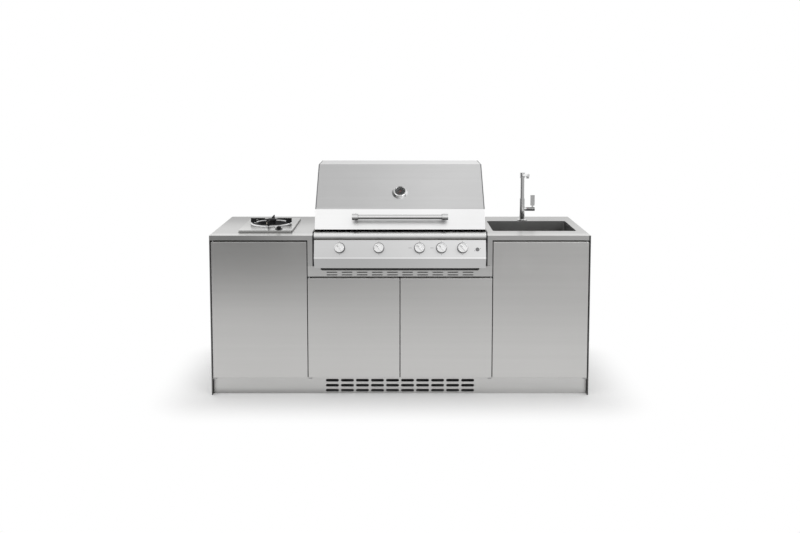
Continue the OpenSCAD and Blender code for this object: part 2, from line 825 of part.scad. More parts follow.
module gas_manifold() {
    color("goldenrod") place() {
        rod_x(knob_xs[0] - 25, pipe_x, manifold_y, manifold_z, manifold_r);
        translate([pipe_x, manifold_y, manifold_z]) sphere(r = manifold_r);
        rod_y(pipe_x, manifold_y, pipe_elbow_y, manifold_z, manifold_r);
        translate([pipe_x, pipe_elbow_y, manifold_z]) sphere(r = manifold_r);
        rod_z(pipe_x, pipe_elbow_y, pipe_low_z, manifold_z, manifold_r);
        translate([pipe_x, pipe_elbow_y, pipe_low_z]) sphere(r = manifold_r);
        rod_y(pipe_x, pipe_elbow_y, pipe_back_y, pipe_low_z, manifold_r);
        translate([pipe_x, pipe_back_y, pipe_low_z]) sphere(r = manifold_r);
        rod_z(pipe_x, pipe_back_y, pipe_low_z - pipe_tail_h, pipe_low_z, manifold_r);
        rod_z(pipe_x, pipe_back_y, pipe_low_z - pipe_tail_h - inlet_h, pipe_low_z - pipe_tail_h, inlet_r);
    }
}

burner_front = firebox_front + 32;
burner_end = firebox_back - 38;
burner_wall = 1.5;
burner_neck_out = 5;
burner_tab_half = 10;
burner_tab_t = 4;
port_r = 1.6;
port_pitch = 26;
port_first = burner_front + 38;
port_rise = 6;
port_rows = 14;

// Burner tubes with a neck through the firebox's front, a row of ports and a tab at the back wall
module burners() {
    color("silver") place() for (x = burner_xs) difference() {
        union() {
            rod_y(x, burner_front, burner_end, burner_z, burner_tube_r);
            rod_y(x, firebox_front - burner_neck_out, burner_front + 8, burner_z, neck_r);
            block([x - burner_tab_half, burner_end - 12, burner_z - burner_tab_t / 2],
                  [x + burner_tab_half, firebox_back - bbq_wall, burner_z + burner_tab_t / 2]);
        }
        rod_y(x, burner_front + 2, burner_end - 2, burner_z, burner_tube_r - burner_wall);
        rod_y(x, firebox_front - burner_neck_out - cut, burner_front + 6, burner_z, neck_r - burner_wall);
        for (i = [0:port_rows - 1])
            rod_x(x - burner_tube_r - cut, x + burner_tube_r + cut,
                  port_first + port_pitch * i, burner_z + port_rise, port_r);
    }
}

rear_half = 160;
rear_foot = worktop_h + 35;
rear_h = 73;
rear_t = 25;
rear_y = pivot_y - 28 - rear_t;
cell_pitch = 20;
cell_w = 14;
cell_depth = 6;
rear_arm_half = 100;
rear_arm_t = 3;
rear_arm_z = worktop_h + 4;

// Infrared burner under the back of the hood, on a bracket from the firebox's back wall
module rear_burner() {
    color("tan") place() {
        difference() {
            block([-rear_half, rear_y, rear_foot], [rear_half, rear_y + rear_t, rear_foot + rear_h]);
            for (i = [-7:7], k = [-1:1])
                translate([i * cell_pitch, rear_y - cut, rear_foot + rear_h / 2 - 0.5 + k * cell_pitch])
                    block([-cell_w / 2, 0, -cell_w / 2], [cell_w / 2, cell_depth + cut, cell_w / 2]);
        }
        block([-rear_arm_half, rear_y + rear_t - rear_arm_t, rear_arm_z],
              [rear_arm_half, rear_y + rear_t, rear_foot]);
        block([-rear_arm_half, rear_y + rear_t - rear_arm_t, rear_arm_z],
              [rear_arm_half, firebox_back - bbq_wall, rear_arm_z + rear_arm_t]);
    }
}

tamer_w = 92;
tamer_h = 26;
tamer_edge = 2.5;
tamer_peak_t = 3;
tamer_gap = 4;

module flame_tamers() {
    color("silver") place() for (x = burner_xs)
        translate([x, 0, tamer_ledge_z + ledge_t])
            along_y(firebox_front + tamer_gap, firebox_back - tamer_gap) polygon([
                [-tamer_w / 2, 0], [-tamer_w / 2 + tamer_edge, 0], [0, tamer_h - tamer_peak_t],
                [tamer_w / 2 - tamer_edge, 0], [tamer_w / 2, 0], [0, tamer_h]]);
}

grate_z = grate_ledge_z + ledge_t;
grate_h = 12;
grate_in = 156;
grate_gap = 2;
grate_out = fire_half - bbq_wall - ledge_w - grate_gap;
grate_y0 = firebox_front + bbq_wall + grate_gap;
grate_y1 = firebox_back - bbq_wall - grate_gap;
grate_bars = 20;
bar_w = 6;
bar_pitch = (grate_out - grate_in - grate_gap - bar_w) / (grate_bars - 1);
cross_w = 10;
cross_drop = 4;
plate_rise = 6;
plate_wall = 6;
plate_slot_half = 60;
plate_slot_d = 12;

module cooking_grates() {
    color("dimgray") place() both_sides() {
        for (y = [grate_y0, (grate_y0 + grate_y1 - cross_w) / 2, grate_y1 - cross_w])
            block([grate_in + grate_gap, y, grate_z],
                  [grate_out, y + cross_w, grate_z + grate_h - cross_drop]);
        for (i = [0:grate_bars - 1])
            translate([grate_in + grate_gap + i * bar_pitch, 0, 0])
                block([0, grate_y0, grate_z], [bar_w, grate_y1, grate_z + grate_h]);
    }
}

module hotplate() {
    color("dimgray") place() difference() {
        block([-grate_in, grate_y0, grate_z], [grate_in, grate_y1, grate_z + grate_h + plate_rise]);
        block([-grate_in + plate_wall, grate_y0 + plate_wall, grate_z + plate_wall],
              [grate_in - plate_wall, grate_y1 - plate_wall, grate_z + grate_h + plate_rise + cut]);
        block([-plate_slot_half, grate_y0 + 14, grate_z - cut],
              [plate_slot_half, grate_y0 + 14 + plate_slot_d, grate_z + plate_wall + cut]);
    }
}

rack_rise = 95;
rack_d = 90;
rack_z = worktop_h + rack_rise;
rack_y1 = rear_y - 15;
rack_y0 = rack_y1 - rack_d;
rack_half = hood_end_in - 6;
rack_rod = 5;
rack_bars = 8;

module warming_rack() {
    color("silver") place() {
        for (i = [0:rack_bars - 1])
            translate([0, rack_y0 + i * (rack_d - rack_rod) / (rack_bars - 1), 0])
                block([-rack_half, 0, rack_z], [rack_half, rack_rod, rack_z + rack_rod]);
        for (x = [-rack_half, -rack_rod / 2, rack_half - rack_rod])
            block([x, rack_y0, rack_z], [x + rack_rod, rack_y1, rack_z + rack_rod]);
        both_sides() for (y = [rack_y0, rack_y1 - rack_rod])
            block([rack_half - rack_rod, y, grate_z], [rack_half, y + rack_rod, rack_z + rack_rod]);
    }
}

// Drip tray, drawn out through a notch in the vent strip

lip_reach = 9;
lip_chamfer = 8;
tray_flange_y = 20;

// Rim with a narrow ledge, lip and side flanges, and the loose floor sheet that lies on the ledge
module drip_tray() {
    open_x = tray_half - tray_sheet;
    open_y = tray_back - tray_sheet;
    floor_z = tray_foot + tray_ledge_t + tray_floor_gap;
    color("dimgray") place() {
        difference() {
            block([-tray_half, 0, tray_foot], [tray_half, tray_back, tray_top]);
            block([-open_x, tray_sheet, tray_foot + tray_ledge_t], [open_x, open_y, tray_top + cut]);
            block([-open_x + tray_ledge_w, tray_sheet + tray_ledge_w, tray_foot - cut],
                  [open_x - tray_ledge_w, open_y - tray_ledge_w, tray_top + cut]);
        }
        block([-open_x + fit, tray_sheet + fit, floor_z], [open_x - fit, open_y - fit, floor_z + tray_floor_t]);
        both_sides()
            block([tray_half - tray_sheet, carcass_y + tray_flange_y, tray_top - flange_drop],
                  [tray_half + tray_flange_w, tray_back, tray_top - 0.5]);
        translate([0, 0, tray_foot]) linear_extrude(height = tray_top - tray_foot)
            polygon([[-tray_half, 0], [-tray_half + lip_chamfer, -lip_reach],
                     [tray_half - lip_chamfer, -lip_reach], [tray_half, 0]]);
    }
}

// Hood

function hood_outline(drop) =
    let (lean = (hood_bend_y - hood_foot_y) / (hood_bend_z - hood_foot_z))
    [[hood_foot_y - drop * lean, worktop_h + hood_foot_z - drop],
     [hood_back, worktop_h + hood_foot_z - drop],
     [hood_back, worktop_h + hood_top_z],
     [hood_brow_y, worktop_h + hood_top_z],
     [hood_bend_y, worktop_h + hood_bend_z]];

// The folded sheet over front, top and back, open below and at both ends
module hood_shell(half) {
    difference() {
        along_x(-half, half) polygon(hood_outline(0));
        along_x(-half - cut, half + cut) polygon(inset_outline(hood_outline(2 * bbq_wall), bbq_wall));
    }
}

// The lower front panel, which wraps round the end plates
module hood_apron() {
    intersection() {
        hood_shell(bbq_half);
        block([-bbq_half - cut, 0, worktop_h], [bbq_half + cut, hood_bend_y + 1, worktop_h + hood_bend_z]);
    }
}

module hood_skin() {
    color("gainsboro") place() difference() {
        union() {
            hood_shell(hood_end_in);
            hood_apron();
        }
        on_slope() translate([0, 0, -bbq_wall - cut]) cylinder(h = bbq_wall + 2 * cut, r = probe_r + 0.2);
    }
}
probe_r = 4;
probe_len = 70;

module hood_ends() {
    color("dimgray") place() both_sides() difference() {
        along_x(hood_end_in, bbq_half) polygon(hood_outline(0));
        hood_apron();
        rod_x(hood_end_in - cut, bbq_half + cut, pivot_y, pivot_z, hood_pin_r + fit);
    }
}

bar_depth = 20;
bar_half = handle_w / 2 - ferrule_w + bar_depth;

module handle_bar() {
    color("silver") place() rod_x(-bar_half, bar_half, handle_y, worktop_h + handle_z, handle_r);
}

module handle_mounts() {
    end_x = handle_w / 2;
    axis_z = worktop_h + handle_z;
    color("gray") place() both_sides() difference() {
        union() {
            rod_x(end_x - ferrule_w, end_x, handle_y, axis_z, ferrule_r);
            rod_y(end_x - ferrule_w / 2, handle_y, hood_bend_y, axis_z, post_r);
        }
        rod_x(end_x - ferrule_w - cut, bar_half + 0.2, handle_y, axis_z, handle_r + fit);
        along_x(-bbq_half, bbq_half) polygon(hood_outline(0));
    }
}

gauge_floor = 3;
gauge_rim_w = 4;
gauge_edge = 1.5;
glass_z = 11;
glass_t = 2;

// Cone-shaped case with a recessed face, a needle pin and a probe through the hood
module thermometer_case() {
    ledge_r = gauge_face_r - gauge_edge;
    color("silver") place() on_slope() {
        rotate_extrude() polygon([
            [0, 0], [gauge_r, 0], [gauge_r - gauge_edge, 2 * gauge_edge],
            [gauge_face_r + gauge_rim_w + 2, gauge_h - gauge_edge], [gauge_face_r + gauge_rim_w, gauge_h],
            [gauge_face_r, gauge_h], [gauge_face_r, glass_z], [ledge_r, glass_z],
            [ledge_r, gauge_floor], [0, gauge_floor]]);
        cylinder(h = gauge_floor + 5, r = needle_pin_r);
        translate([0, 0, -probe_len]) cylinder(h = probe_len + gauge_floor, r = probe_r);
    }
}

module thermometer_glass() {
    color("white", 0.35) place() on_slope()
        translate([0, 0, glass_z]) cylinder(h = glass_t, r = gauge_face_r - fit);
}

needle_z = gauge_floor + 2;
needle_t = 1.2;
needle_len = gauge_face_r - 7;
needle_tail = 12;
needle_root_half = 1.6;
needle_tip_half = 0.8;
needle_hub_r = 4.5;
needle_tail_r = 3.4;
needle_rest_turn = 135;

// Balanced needle; it points down and to the left when the hood is cold
module thermometer_needle() {
    color("orangered") place() on_slope()
    rotate([0, 0, needle_rest_turn]) translate([0, 0, needle_z]) difference() {
        union() {
            cylinder(h = needle_t, r = needle_hub_r);
            linear_extrude(height = needle_t)
                polygon([[-needle_root_half, -needle_tail], [needle_root_half, -needle_tail],
                         [needle_tip_half, needle_len], [-needle_tip_half, needle_len]]);
            translate([0, 1.5 - needle_tail, 0]) cylinder(h = needle_t, r = needle_tail_r);
        }
        translate([0, 0, -cut]) cylinder(h = needle_t + 2 * cut, r = needle_pin_r + fit);
    }
}

// Controls

grip_w = 9;
grip_turn = 45;
dish_depth = 5;
dish_rim = 3;
knob_foot = bezel_t + 1;

// One knob: a turned cap with a dished face and a grip bar, on a spindle
module bbq_knob(x) {
    color("whitesmoke") place() on_panel(x) {
        difference() {
            rotate_extrude() polygon([
                [0, knob_foot], [knob_r - 1, knob_foot], [knob_r, knob_foot + knob_chamfer],
                [knob_r, knob_len - knob_chamfer], [knob_face_r, knob_len], [0, knob_len]]);
            translate([0, 0, knob_len - dish_depth])
                cylinder(h = dish_depth + cut, r = knob_face_r - dish_rim);
        }
        intersection() {
            rotate([0, 0, grip_turn])
                block([-grip_w / 2, -knob_r, knob_len - dish_depth - 1], [grip_w / 2, knob_r, knob_len]);
            cylinder(h = knob_len, r = knob_face_r - 1);
        }
        translate([0, 0, spindle_end + 1 - bbq_wall - valve_len])
            cylinder(h = valve_len + bbq_wall + bezel_t, r = spindle_r);
    }
}
module knob_1() { bbq_knob(knob_xs[0]); }
module knob_2() { bbq_knob(knob_xs[1]); }
module knob_3() { bbq_knob(knob_xs[2]); }
module knob_4() { bbq_knob(knob_xs[3]); }
module knob_5() { bbq_knob(knob_xs[4]); }

button_flange = 3;
button_crown = 1.2;

// Button with a flange behind the panel and a raised crown
module ignition_button() {
    inner_z = -bbq_wall - seat;
    button_z = button_travel + 3;
    color("black") place() on_panel(button_x, button_drop) {
        translate([0, 0, inner_z - button_flange]) cylinder(h = button_flange, r = button_r + button_flange);
        translate([0, 0, inner_z - 1]) cylinder(h = button_z + 1 - inner_z, r = button_r);
        translate([0, 0, button_z - 1]) cylinder(h = 1 + button_crown, r = button_r - 2);
    }
}

// Hob

hob_sheet = 1.5;
hob_corner_r = 8;
hob_valve_r = 9;
hob_valve_drop = 14;

// Pressed plate with the hob's valve under it
module hob_plate() {
    color("lightgray") place() difference() {
        union() {
            difference() {
                translate([burner_x, (hob_front + hob_back) / 2, worktop_h])
                    linear_extrude(height = hob_rise) round_outline(hob_w, hob_d, hob_corner_r);
                translate([burner_x, (hob_front + hob_back) / 2, worktop_h - cut])
                    linear_extrude(height = hob_rise - hob_sheet + cut)
                        round_outline(hob_w - 2 * hob_sheet, hob_d - 2 * hob_sheet, hob_corner_r - hob_sheet);
            }
            rod_z(hob_knob_x, hob_knob_y, worktop_h - hob_valve_drop, hob_top - 1, hob_valve_r);
        }
        rod_z(burner_x, burner_y, worktop_h - cut, hob_top + cut, ring_hole_r - 2);
        rod_z(hob_knob_x, hob_knob_y, worktop_h - hob_valve_drop - cut, hob_top + cut, spindle_r + fit);
    }
}

module drip_ring() {
    color("whitesmoke") place() translate([burner_x, burner_y, hob_top]) rotate_extrude()
        polygon([[ring_hole_r, 0], [ring_r, 0], [ring_r, ring_h / 4], [ring_r - ring_h, ring_h],
                 [ring_hole_r + ring_h, ring_h], [ring_hole_r, ring_h / 2]]);
}

bowl_depth = 40;
bowl_slope_w = 18;
bowl_rim_w = 14;
head_rise = 16;
head_slots = 6;
gas_cup_h = 30;

// Black bowl under the ring, with the burner's body standing in it and its gas chamber below
module hob_burner() {
    rim_r = ring_hole_r - 4;
    foot_r = rim_r - bowl_slope_w;
    under_z = hob_top - 2 * hob_sheet;
    foot_z = hob_top - bowl_depth;
    color("black") place() translate([burner_x, burner_y, 0]) difference() {
        union() {
            rotate_extrude() polygon([
                [0, foot_z], [foot_r, foot_z], [rim_r, under_z], [rim_r + bowl_rim_w, under_z],
                [rim_r + bowl_rim_w, under_z + hob_sheet], [rim_r - 1, under_z + hob_sheet],
                [foot_r - 1, foot_z + hob_sheet], [0, foot_z + hob_sheet]]);
            translate([0, 0, foot_z]) cylinder(h = bowl_depth + head_rise, r = cap_r - 5);
            translate([0, 0, foot_z - gas_cup_h]) cylinder(h = gas_cup_h + 1, r = cap_r + 6);
        }
        for (i = [0:head_slots - 1]) rotate([0, 0, 180 * i / head_slots])
            block([-cap_r, -1.5, hob_top + head_rise / 2], [cap_r, 1.5, hob_top + head_rise / 2 + 5]);
    }
}

module burner_cap() {
    color("gray") place() translate([burner_x, burner_y, hob_top + head_rise]) rotate_extrude()
        polygon([[0, 0], [cap_r, 0], [cap_r, 6], [cap_r - 4, 10], [cap_r - 10, 12], [0, 13]]);
}

fin_in = ring_r - 31;
fin_t = 6;
arm_h = 8;
support_ring_h = 5;

// Four fins standing on a ring, each with an arm that reaches over the burner
module pan_support() {
    fin_h = support_top - hob_rise - ring_h;
    color("black") place() translate([burner_x, burner_y, hob_top + ring_h]) {
        difference() {
            cylinder(h = support_ring_h, r = ring_r - 7);
            translate([0, 0, -cut]) cylinder(h = support_ring_h + 2 * cut, r = ring_r - 15);
        }
        for (a = [0:90:270]) rotate([0, 0, a]) {
            block([fin_in, -fin_t / 2, 0], [ring_r + 2, fin_t / 2, fin_h]);
            block([cap_r + 8, -fin_t / 2, fin_h - arm_h], [fin_in + 1, fin_t / 2, fin_h]);
        }
    }
}

hob_skirt_h = 3;
hob_skirt_w = 8.5;
hob_grip_h = 15;
hob_spindle_drop = 22;

// Hob knob: a skirt, a round grip with a raised bar, and a spindle
module hob_knob() {
    color("black") place() translate([hob_knob_x, hob_knob_y, hob_top]) {
        translate([0, 0, seat]) cylinder(h = hob_skirt_h, r = hob_grip_r + hob_skirt_w);
        translate([0, 0, hob_skirt_h]) cylinder(h = hob_grip_h - hob_skirt_h, r = hob_grip_r);
        translate([0, 0, -hob_spindle_drop]) cylinder(h = hob_spindle_drop + 2, r = spindle_r);
        block([-hob_grip_r / 5, -hob_grip_r, hob_skirt_h], [hob_grip_r / 5, hob_grip_r, hob_grip_h + 3]);
    }
}

// Sink and tap

sink_mid_y = (sink_front + sink_back) / 2;
bowl_margin = 1;

// Raises the sink's outline, grown by g, from z0 to z1
module sink_block(g, z0, z1) {
    translate([sink_x, sink_mid_y, z0])
        linear_extrude(height = z1 - z0) round_outline(sink_w + 2 * g, sink_d + 2 * g, bowl_corner_r + g);
}

// Bowl hung under the worktop by a flange round its rim
module sink_bowl() {
    color("gray") place() difference() {
        union() {
            sink_block(bowl_flange, bowl_top - bowl_wall, bowl_top);
            sink_block(bowl_margin + bowl_wall, bowl_floor, bowl_top);
        }
        sink_block(bowl_margin, bowl_floor + bowl_wall, bowl_top + bowl_wall);
        rod_z(sink_x, sink_mid_y, bowl_floor - cut, bowl_floor + bowl_wall + cut, waste_r);
    }
}

tail_r = 20;
strainer_drop = 34;
strainer_foot = bowl_floor - strainer_drop;
strainer_flange = 8;
strainer_rim_t = 2;
strainer_cup_drop = 6;
drain_hole_r = 4;

// Strainer: a flange on the bowl's floor, a cup below it and drain holes through the cup's floor
module sink_strainer() {
    flange_z = bowl_floor + bowl_wall;
    color("silver") place() translate([sink_x, sink_mid_y, 0]) difference() {
        union() {
            translate([0, 0, flange_z]) cylinder(h = strainer_rim_t, r = waste_r + strainer_flange);
            translate([0, 0, strainer_foot])
                cylinder(h = flange_z + strainer_rim_t - strainer_foot, r = waste_r - seat);
        }
        translate([0, 0, bowl_floor - strainer_cup_drop]) cylinder(h = strainer_drop, r = waste_r - 6);
        for (a = [0:60:300], r = [14, 28]) rotate([0, 0, a + r])
            translate([r, 0, strainer_foot - cut]) cylinder(h = strainer_drop, r = drain_hole_r);
    }
}

trap_y = sink_mid_y;
trap_r = 32;
trap_h = 120;
trap_top = strainer_foot - 50;
trap_collar_drop = 84;
trap_collar_h = 12;
trap_nut_w = 7;
trap_nut_h = 14;
outlet_z = trap_top - 30;
outlet_len = 190;
outlet_end = trap_y + outlet_len;

// Bottle trap: a tailpipe, a bottle and a side outlet that points back
module waste_trap() {
    collar_z = trap_top - trap_collar_drop - trap_collar_h;
    color("dimgray") place() {
        rod_z(sink_x, trap_y, trap_top, strainer_foot, tail_r);
        rod_z(sink_x, trap_y, strainer_foot - trap_nut_h, strainer_foot, tail_r + trap_nut_w);
        rod_z(sink_x, trap_y, trap_top - trap_h, trap_top, trap_r);
        rod_z(sink_x, trap_y, collar_z, collar_z + trap_collar_h, trap_r + 3);
        rod_y(sink_x, trap_y, outlet_end, outlet_z, tail_r);
    }
}

tail_pipe_r = 8;
tail_gap = 11;
tail_drop = 70;
shank_drop = 20;
shank_nut_w = 9;
shank_nut_h = 8;
tap_flange_w = 11.5;
tap_flange_h = 4;
tap_step_h = 2;
arm_core_r = mixer_r - 4.5;
riser_core_r = riser_r - 3.5;
riser_depth = 34;

// Tap body: base flange, lower tube, mixer arm, shank and the two inlet tails under the worktop
module tap_body() {
    color("silver") place() translate([tap_x, tap_y, worktop_h]) difference() {
        union() {
            cylinder(h = tap_flange_h, r = tap_r + tap_flange_w);
            translate([0, 0, tap_flange_h]) cylinder(h = tap_step_h, r = tap_r + 8);
            cylinder(h = tap_body_h, r = tap_r);
            rod_x(0, sleeve_x, 0, mixer_z, mixer_r);
            rod_x(sleeve_x - 1, sleeve_x + arm_core_len, 0, mixer_z, arm_core_r);
            rod_z(0, 0, -worktop_t - shank_drop, 1, shank_r);
            rod_z(0, 0, -sheet_t - shank_nut_h, -sheet_t, shank_r + shank_nut_w);
            for (s = [-1, 1])
                rod_z(s * tail_gap, 0, -worktop_t - tail_drop, 1 - worktop_t - shank_drop, tail_pipe_r);
            rod_z(0, 0, -worktop_t - shank_drop - 4, 6 - worktop_t - shank_drop, tail_gap + tail_pipe_r + 2);
        }
        rod_z(0, 0, tap_body_h - riser_depth, tap_body_h + cut, riser_core_r + fit);
    }
}
arm_core_len = 8;

nozzle_back = 4;
nozzle_drop = 8;

// Riser, hub and rising spout, which swivel on the tap body; the nozzle points straight down
module tap_spout() {
    color("silver") place() translate([tap_x, tap_y, worktop_h]) {
        rod_z(0, 0, tap_body_h - riser_depth + 2, tap_body_h + 1, riser_core_r);
        rod_z(0, 0, tap_body_h + seat, tap_h, riser_r);
        rod_z(0, 0, tap_h - hub_h, tap_h, hub_r);
        rotate([0, 0, spout_turn]) translate([0, 0, tap_h - hub_h / 2]) rotate([90 - spout_rise, 0, 0]) {
            cylinder(h = spout_reach, r = spout_r);
            translate([0, 0, spout_reach - spout_r - nozzle_back]) rotate([90 + spout_rise, 0, 0])
                cylinder(h = spout_r + nozzle_drop, r = spout_r + 1);
        }
    }
}

slot_half = 3.2;
neck_half = 5;
lever_pin_r = 2;

// Sleeve that turns on the mixer arm; the lever tips in its slot
module tap_sleeve() {
    color("silver") place() translate([tap_x, tap_y, worktop_h]) difference() {
        rod_x(sleeve_x + seat, sleeve_end, 0, mixer_z, mixer_r);
        rod_x(sleeve_x - cut, sleeve_x + arm_core_len + 2, 0, mixer_z, arm_core_r + fit);
        block([lever_x - neck_half - 1.5, -slot_half, mixer_z - neck_half - 1.5],
              [sleeve_end - 2, slot_half, mixer_z + mixer_r + cut]);
        rod_y(lever_x, -mixer_r - cut, mixer_r + cut, mixer_z, lever_pin_r + fit);
    }
}

lever_w = 26;
lever_foot = 22;
lever_top = 86;

module tap_lever() {
    color("silver") place() translate([tap_x + lever_x, tap_y, worktop_h + mixer_z]) {
        rod_y(0, -slot_half + 0.2, slot_half - 0.2, 0, neck_half);
        block([-neck_half, -slot_half + 0.2, 0], [neck_half, slot_half - 0.2, lever_foot + 1]);
        block([-lever_w / 2, -slot_half, lever_foot], [lever_w / 2, slot_half, lever_top]);
        rod_y(0, -mixer_r + 2.5, mixer_r - 2.5, 0, lever_pin_r);
    }
}

end_panel_left();
end_panel_right();
partition_left();
partition_right();
base_shelves();
back_panel();
plinth();
adjustable_feet();
worktop_left();
worktop_right();
worktop_rear();
vent_strip();
hinge_brackets();
hinge_pins();
service_grommets();
support_rails();
firebox();
bbq_side_trims();
front_rail();
control_panel();
knob_bezels();
gas_valves();
gas_manifold();
burners();
rear_burner();
flame_tamers();
cooking_grates();
hotplate();
warming_rack();
hob_plate();
hob_burner();
drip_ring();
burner_cap();
pan_support();
sink_bowl();
sink_strainer();
waste_trap();
tap_body();
door_left();
door_centre_left();
door_centre_right();
door_right();
hood_skin();
hood_ends();
handle_bar();
handle_mounts();
thermometer_case();
thermometer_glass();
thermometer_needle();
knob_1();
knob_2();
knob_3();
knob_4();
knob_5();
hob_knob();
ignition_button();
drip_tray();
tap_spout();
tap_sleeve();
tap_lever();
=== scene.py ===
import json
import math

import bmesh
import bpy
from bpy.props import FloatProperty, FloatVectorProperty, IntProperty, PointerProperty
from mathutils import Matrix, Vector


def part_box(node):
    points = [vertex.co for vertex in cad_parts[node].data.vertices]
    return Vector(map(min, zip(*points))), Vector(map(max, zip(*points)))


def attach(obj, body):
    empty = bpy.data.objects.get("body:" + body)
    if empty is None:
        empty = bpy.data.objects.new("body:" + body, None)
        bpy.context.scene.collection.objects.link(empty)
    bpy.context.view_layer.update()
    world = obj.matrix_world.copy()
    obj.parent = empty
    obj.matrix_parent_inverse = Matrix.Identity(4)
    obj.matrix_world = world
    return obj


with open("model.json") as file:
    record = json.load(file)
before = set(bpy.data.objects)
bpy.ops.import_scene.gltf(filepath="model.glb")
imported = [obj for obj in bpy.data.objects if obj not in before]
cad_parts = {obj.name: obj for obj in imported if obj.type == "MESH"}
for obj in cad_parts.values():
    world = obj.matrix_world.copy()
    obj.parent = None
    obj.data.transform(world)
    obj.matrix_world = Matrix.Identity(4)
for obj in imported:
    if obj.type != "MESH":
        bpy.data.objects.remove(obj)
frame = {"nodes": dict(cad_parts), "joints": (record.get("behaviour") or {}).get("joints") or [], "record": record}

bl_info = {
    "name": "Outdoor Kitchen Looks",
    "version": (1, 0, 0),
    "blender": (4, 5, 0),
    "location": "3D View > Sidebar > Kitchen",
    "description": "Finishes, small pieces and a studio for the outdoor kitchen",
    "category": "Object",
}

NODES = frame["nodes"]
JOINTS = {j["name"]: j for j in frame["joints"]}
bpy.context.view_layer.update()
MM = 0.001

# Directions seen from the kitchen's front
UP = (0, 0, 1)
DOWN = (0, 0, -1)
FRONT = (0, -1, 0)
BACK = (0, 1, 0)
LEFT = (-1, 0, 0)
RIGHT = (1, 0, 0)


# Sizes and colours that a user would change

def length(name, text, default, low=0.0):
    return FloatProperty(name=name, description=text, default=default, min=low, unit="LENGTH",
                         subtype="DISTANCE")


def share(name, text, default, high=1.0):
    return FloatProperty(name=name, description=text, default=default, min=0.0, max=high, subtype="FACTOR")


def tint(name, text, default):
    return FloatVectorProperty(name=name, description=text, default=default, size=3, min=0.0, max=1.0,
                               subtype="COLOR")


class KitchenFinishSettings(bpy.types.PropertyGroup):
    # These sheets are one steel; the hood's and panel's colours are set brighter than the rest, a painted
    # highlight for the light they catch
    door_colour: tint("Door steel", "Brushed steel of the doors", (0.625, 0.62, 0.61))
    cabinet_colour: tint("Cabinet steel", "Brushed steel of plinth, vents and ends", (0.625, 0.622, 0.614))
    worktop_colour: tint("Worktop steel", "Brushed steel of the worktop", (0.70, 0.697, 0.688))
    hood_colour: tint("Hood steel", "Brushed steel of the hood", (0.93, 0.93, 0.93))
    panel_colour: tint("Panel steel", "Brushed steel of the control panel", (0.81, 0.81, 0.81))
    polished_colour: tint("Polished steel", "Bezels, tap, handle and dial case", (0.84, 0.84, 0.84))
    sink_colour: tint("Sink steel", "Satin steel of the bowl", (0.37, 0.37, 0.365))
    knob_colour: tint("Knobs", "Satin metal of the barbecue knobs", (0.90, 0.90, 0.90))
    iron_colour: tint("Cast iron", "Grates, hotplate and pan support", (0.014, 0.014, 0.015))
    enamel_colour: tint("Dark enamel", "Enamelled pieces of barbecue and hob", (0.022, 0.022, 0.024))
    grain_pitch: length("Grain pitch", "Distance between the brushed lines", 0.0016, 0.0002)
    grain_depth: share("Grain depth", "How much the brushed lines change the tone", 0.10)
    # Share by which the rounded edges of brushed steel are painted lighter, a painted highlight
    highlight_and_wear: share("Edge wear", "How bright worn edges are", 0.35)


class KitchenDialSettings(bpy.types.PropertyGroup):
    ticks: IntProperty(name="Ticks", description="Marks round the thermometer's dial", default=21, min=3,
                       max=60)
    tick_sweep: FloatProperty(name="Tick sweep", description="Angle that the marks cover",
                              default=math.radians(250), subtype="ANGLE", unit="ROTATION")
    tick_length: length("Tick length", "Length of a long mark", 0.0055)
    tick_reach: length("Tick reach", "Distance of the marks' outer ends from the middle", 0.0262)
    plate_radius: length("Plate radius", "Radius of the dial plate", 0.0282)
    plate_hole: length("Plate hole", "Radius of the hole for the pointer's shaft", 0.0026)
    recess: length("Recess", "Depth of the case's recess behind the pointer's pivot", 0.002)
    plate_gap: length("Plate gap", "Distance of the dial plate in front of the recess", 0.0003)


class KitchenMarkSettings(bpy.types.PropertyGroup):
    line_length: length("Index line", "Length of the line on a knob's grip", 0.014)
    line_width: length("Index width", "Width of the line on a knob's grip", 0.0022)
    line_start: length("Index start", "Distance of the line from a knob's axis", 0.005)
    mark_radius: length("Mark radius", "Distance of the printed marks from a knob's axis", 0.0365)
    mark_size: length("Mark size", "Radius of a printed dot", 0.0016)
    dash_length: length("Dash length", "Length of the dashes beside two knobs", 0.017)
    dash_width: length("Dash width", "Width of the dashes beside two knobs", 0.0016)
    dash_place: length("Dash place", "Distance of a dash's middle from its knob's axis", 0.052)
    print_height: length("Print height", "How far the printed marks stand on the panel", 0.00012)


class KitchenFixingSettings(bpy.types.PropertyGroup):
    screw_radius: length("Screw radius", "Radius of a pan head", 0.0042)
    screw_height: length("Screw height", "Height of a pan head", 0.0018)
    rivet_radius: length("Rivet radius", "Radius of the rivets on the fascia", 0.0018)
    bumper_radius: length("Bumper radius", "Radius of a door bumper", 0.0055)
    bumper_height: length("Bumper height", "Height of a door bumper", 0.0018)
    bumper_inset: length("Bumper inset", "Distance of a bumper from the door's edges", 0.018)


class KitchenGasSettings(bpy.types.PropertyGroup):
    port_pitch: length("Port pitch", "Distance between two flame ports of a burner tube", 0.012)
    port_radius: length("Port radius", "Radius of a flame port", 0.0012)
    head_ports: IntProperty(name="Head ports", description="Flame ports round the hob's burner", default=28,
                            min=8)
    nut_radius: length("Nut radius", "Radius over the corners of a valve's nut", 0.0098)
    nut_height: length("Nut height", "Height of a valve's nut", 0.0065)
    bead: length("Gasket bead", "Width of the dark gasket round the hob plate", 0.0016)


class KitchenTapSettings(bpy.types.PropertyGroup):
    aerator_radius: length("Aerator radius", "Radius of the aerator in the nozzle", 0.0078)
    dot_radius: length("Dot radius", "Radius of the hot and cold dots", 0.0016)
    ring_width: length("Ring width", "Width of the gasket at the tap's foot", 0.0014)


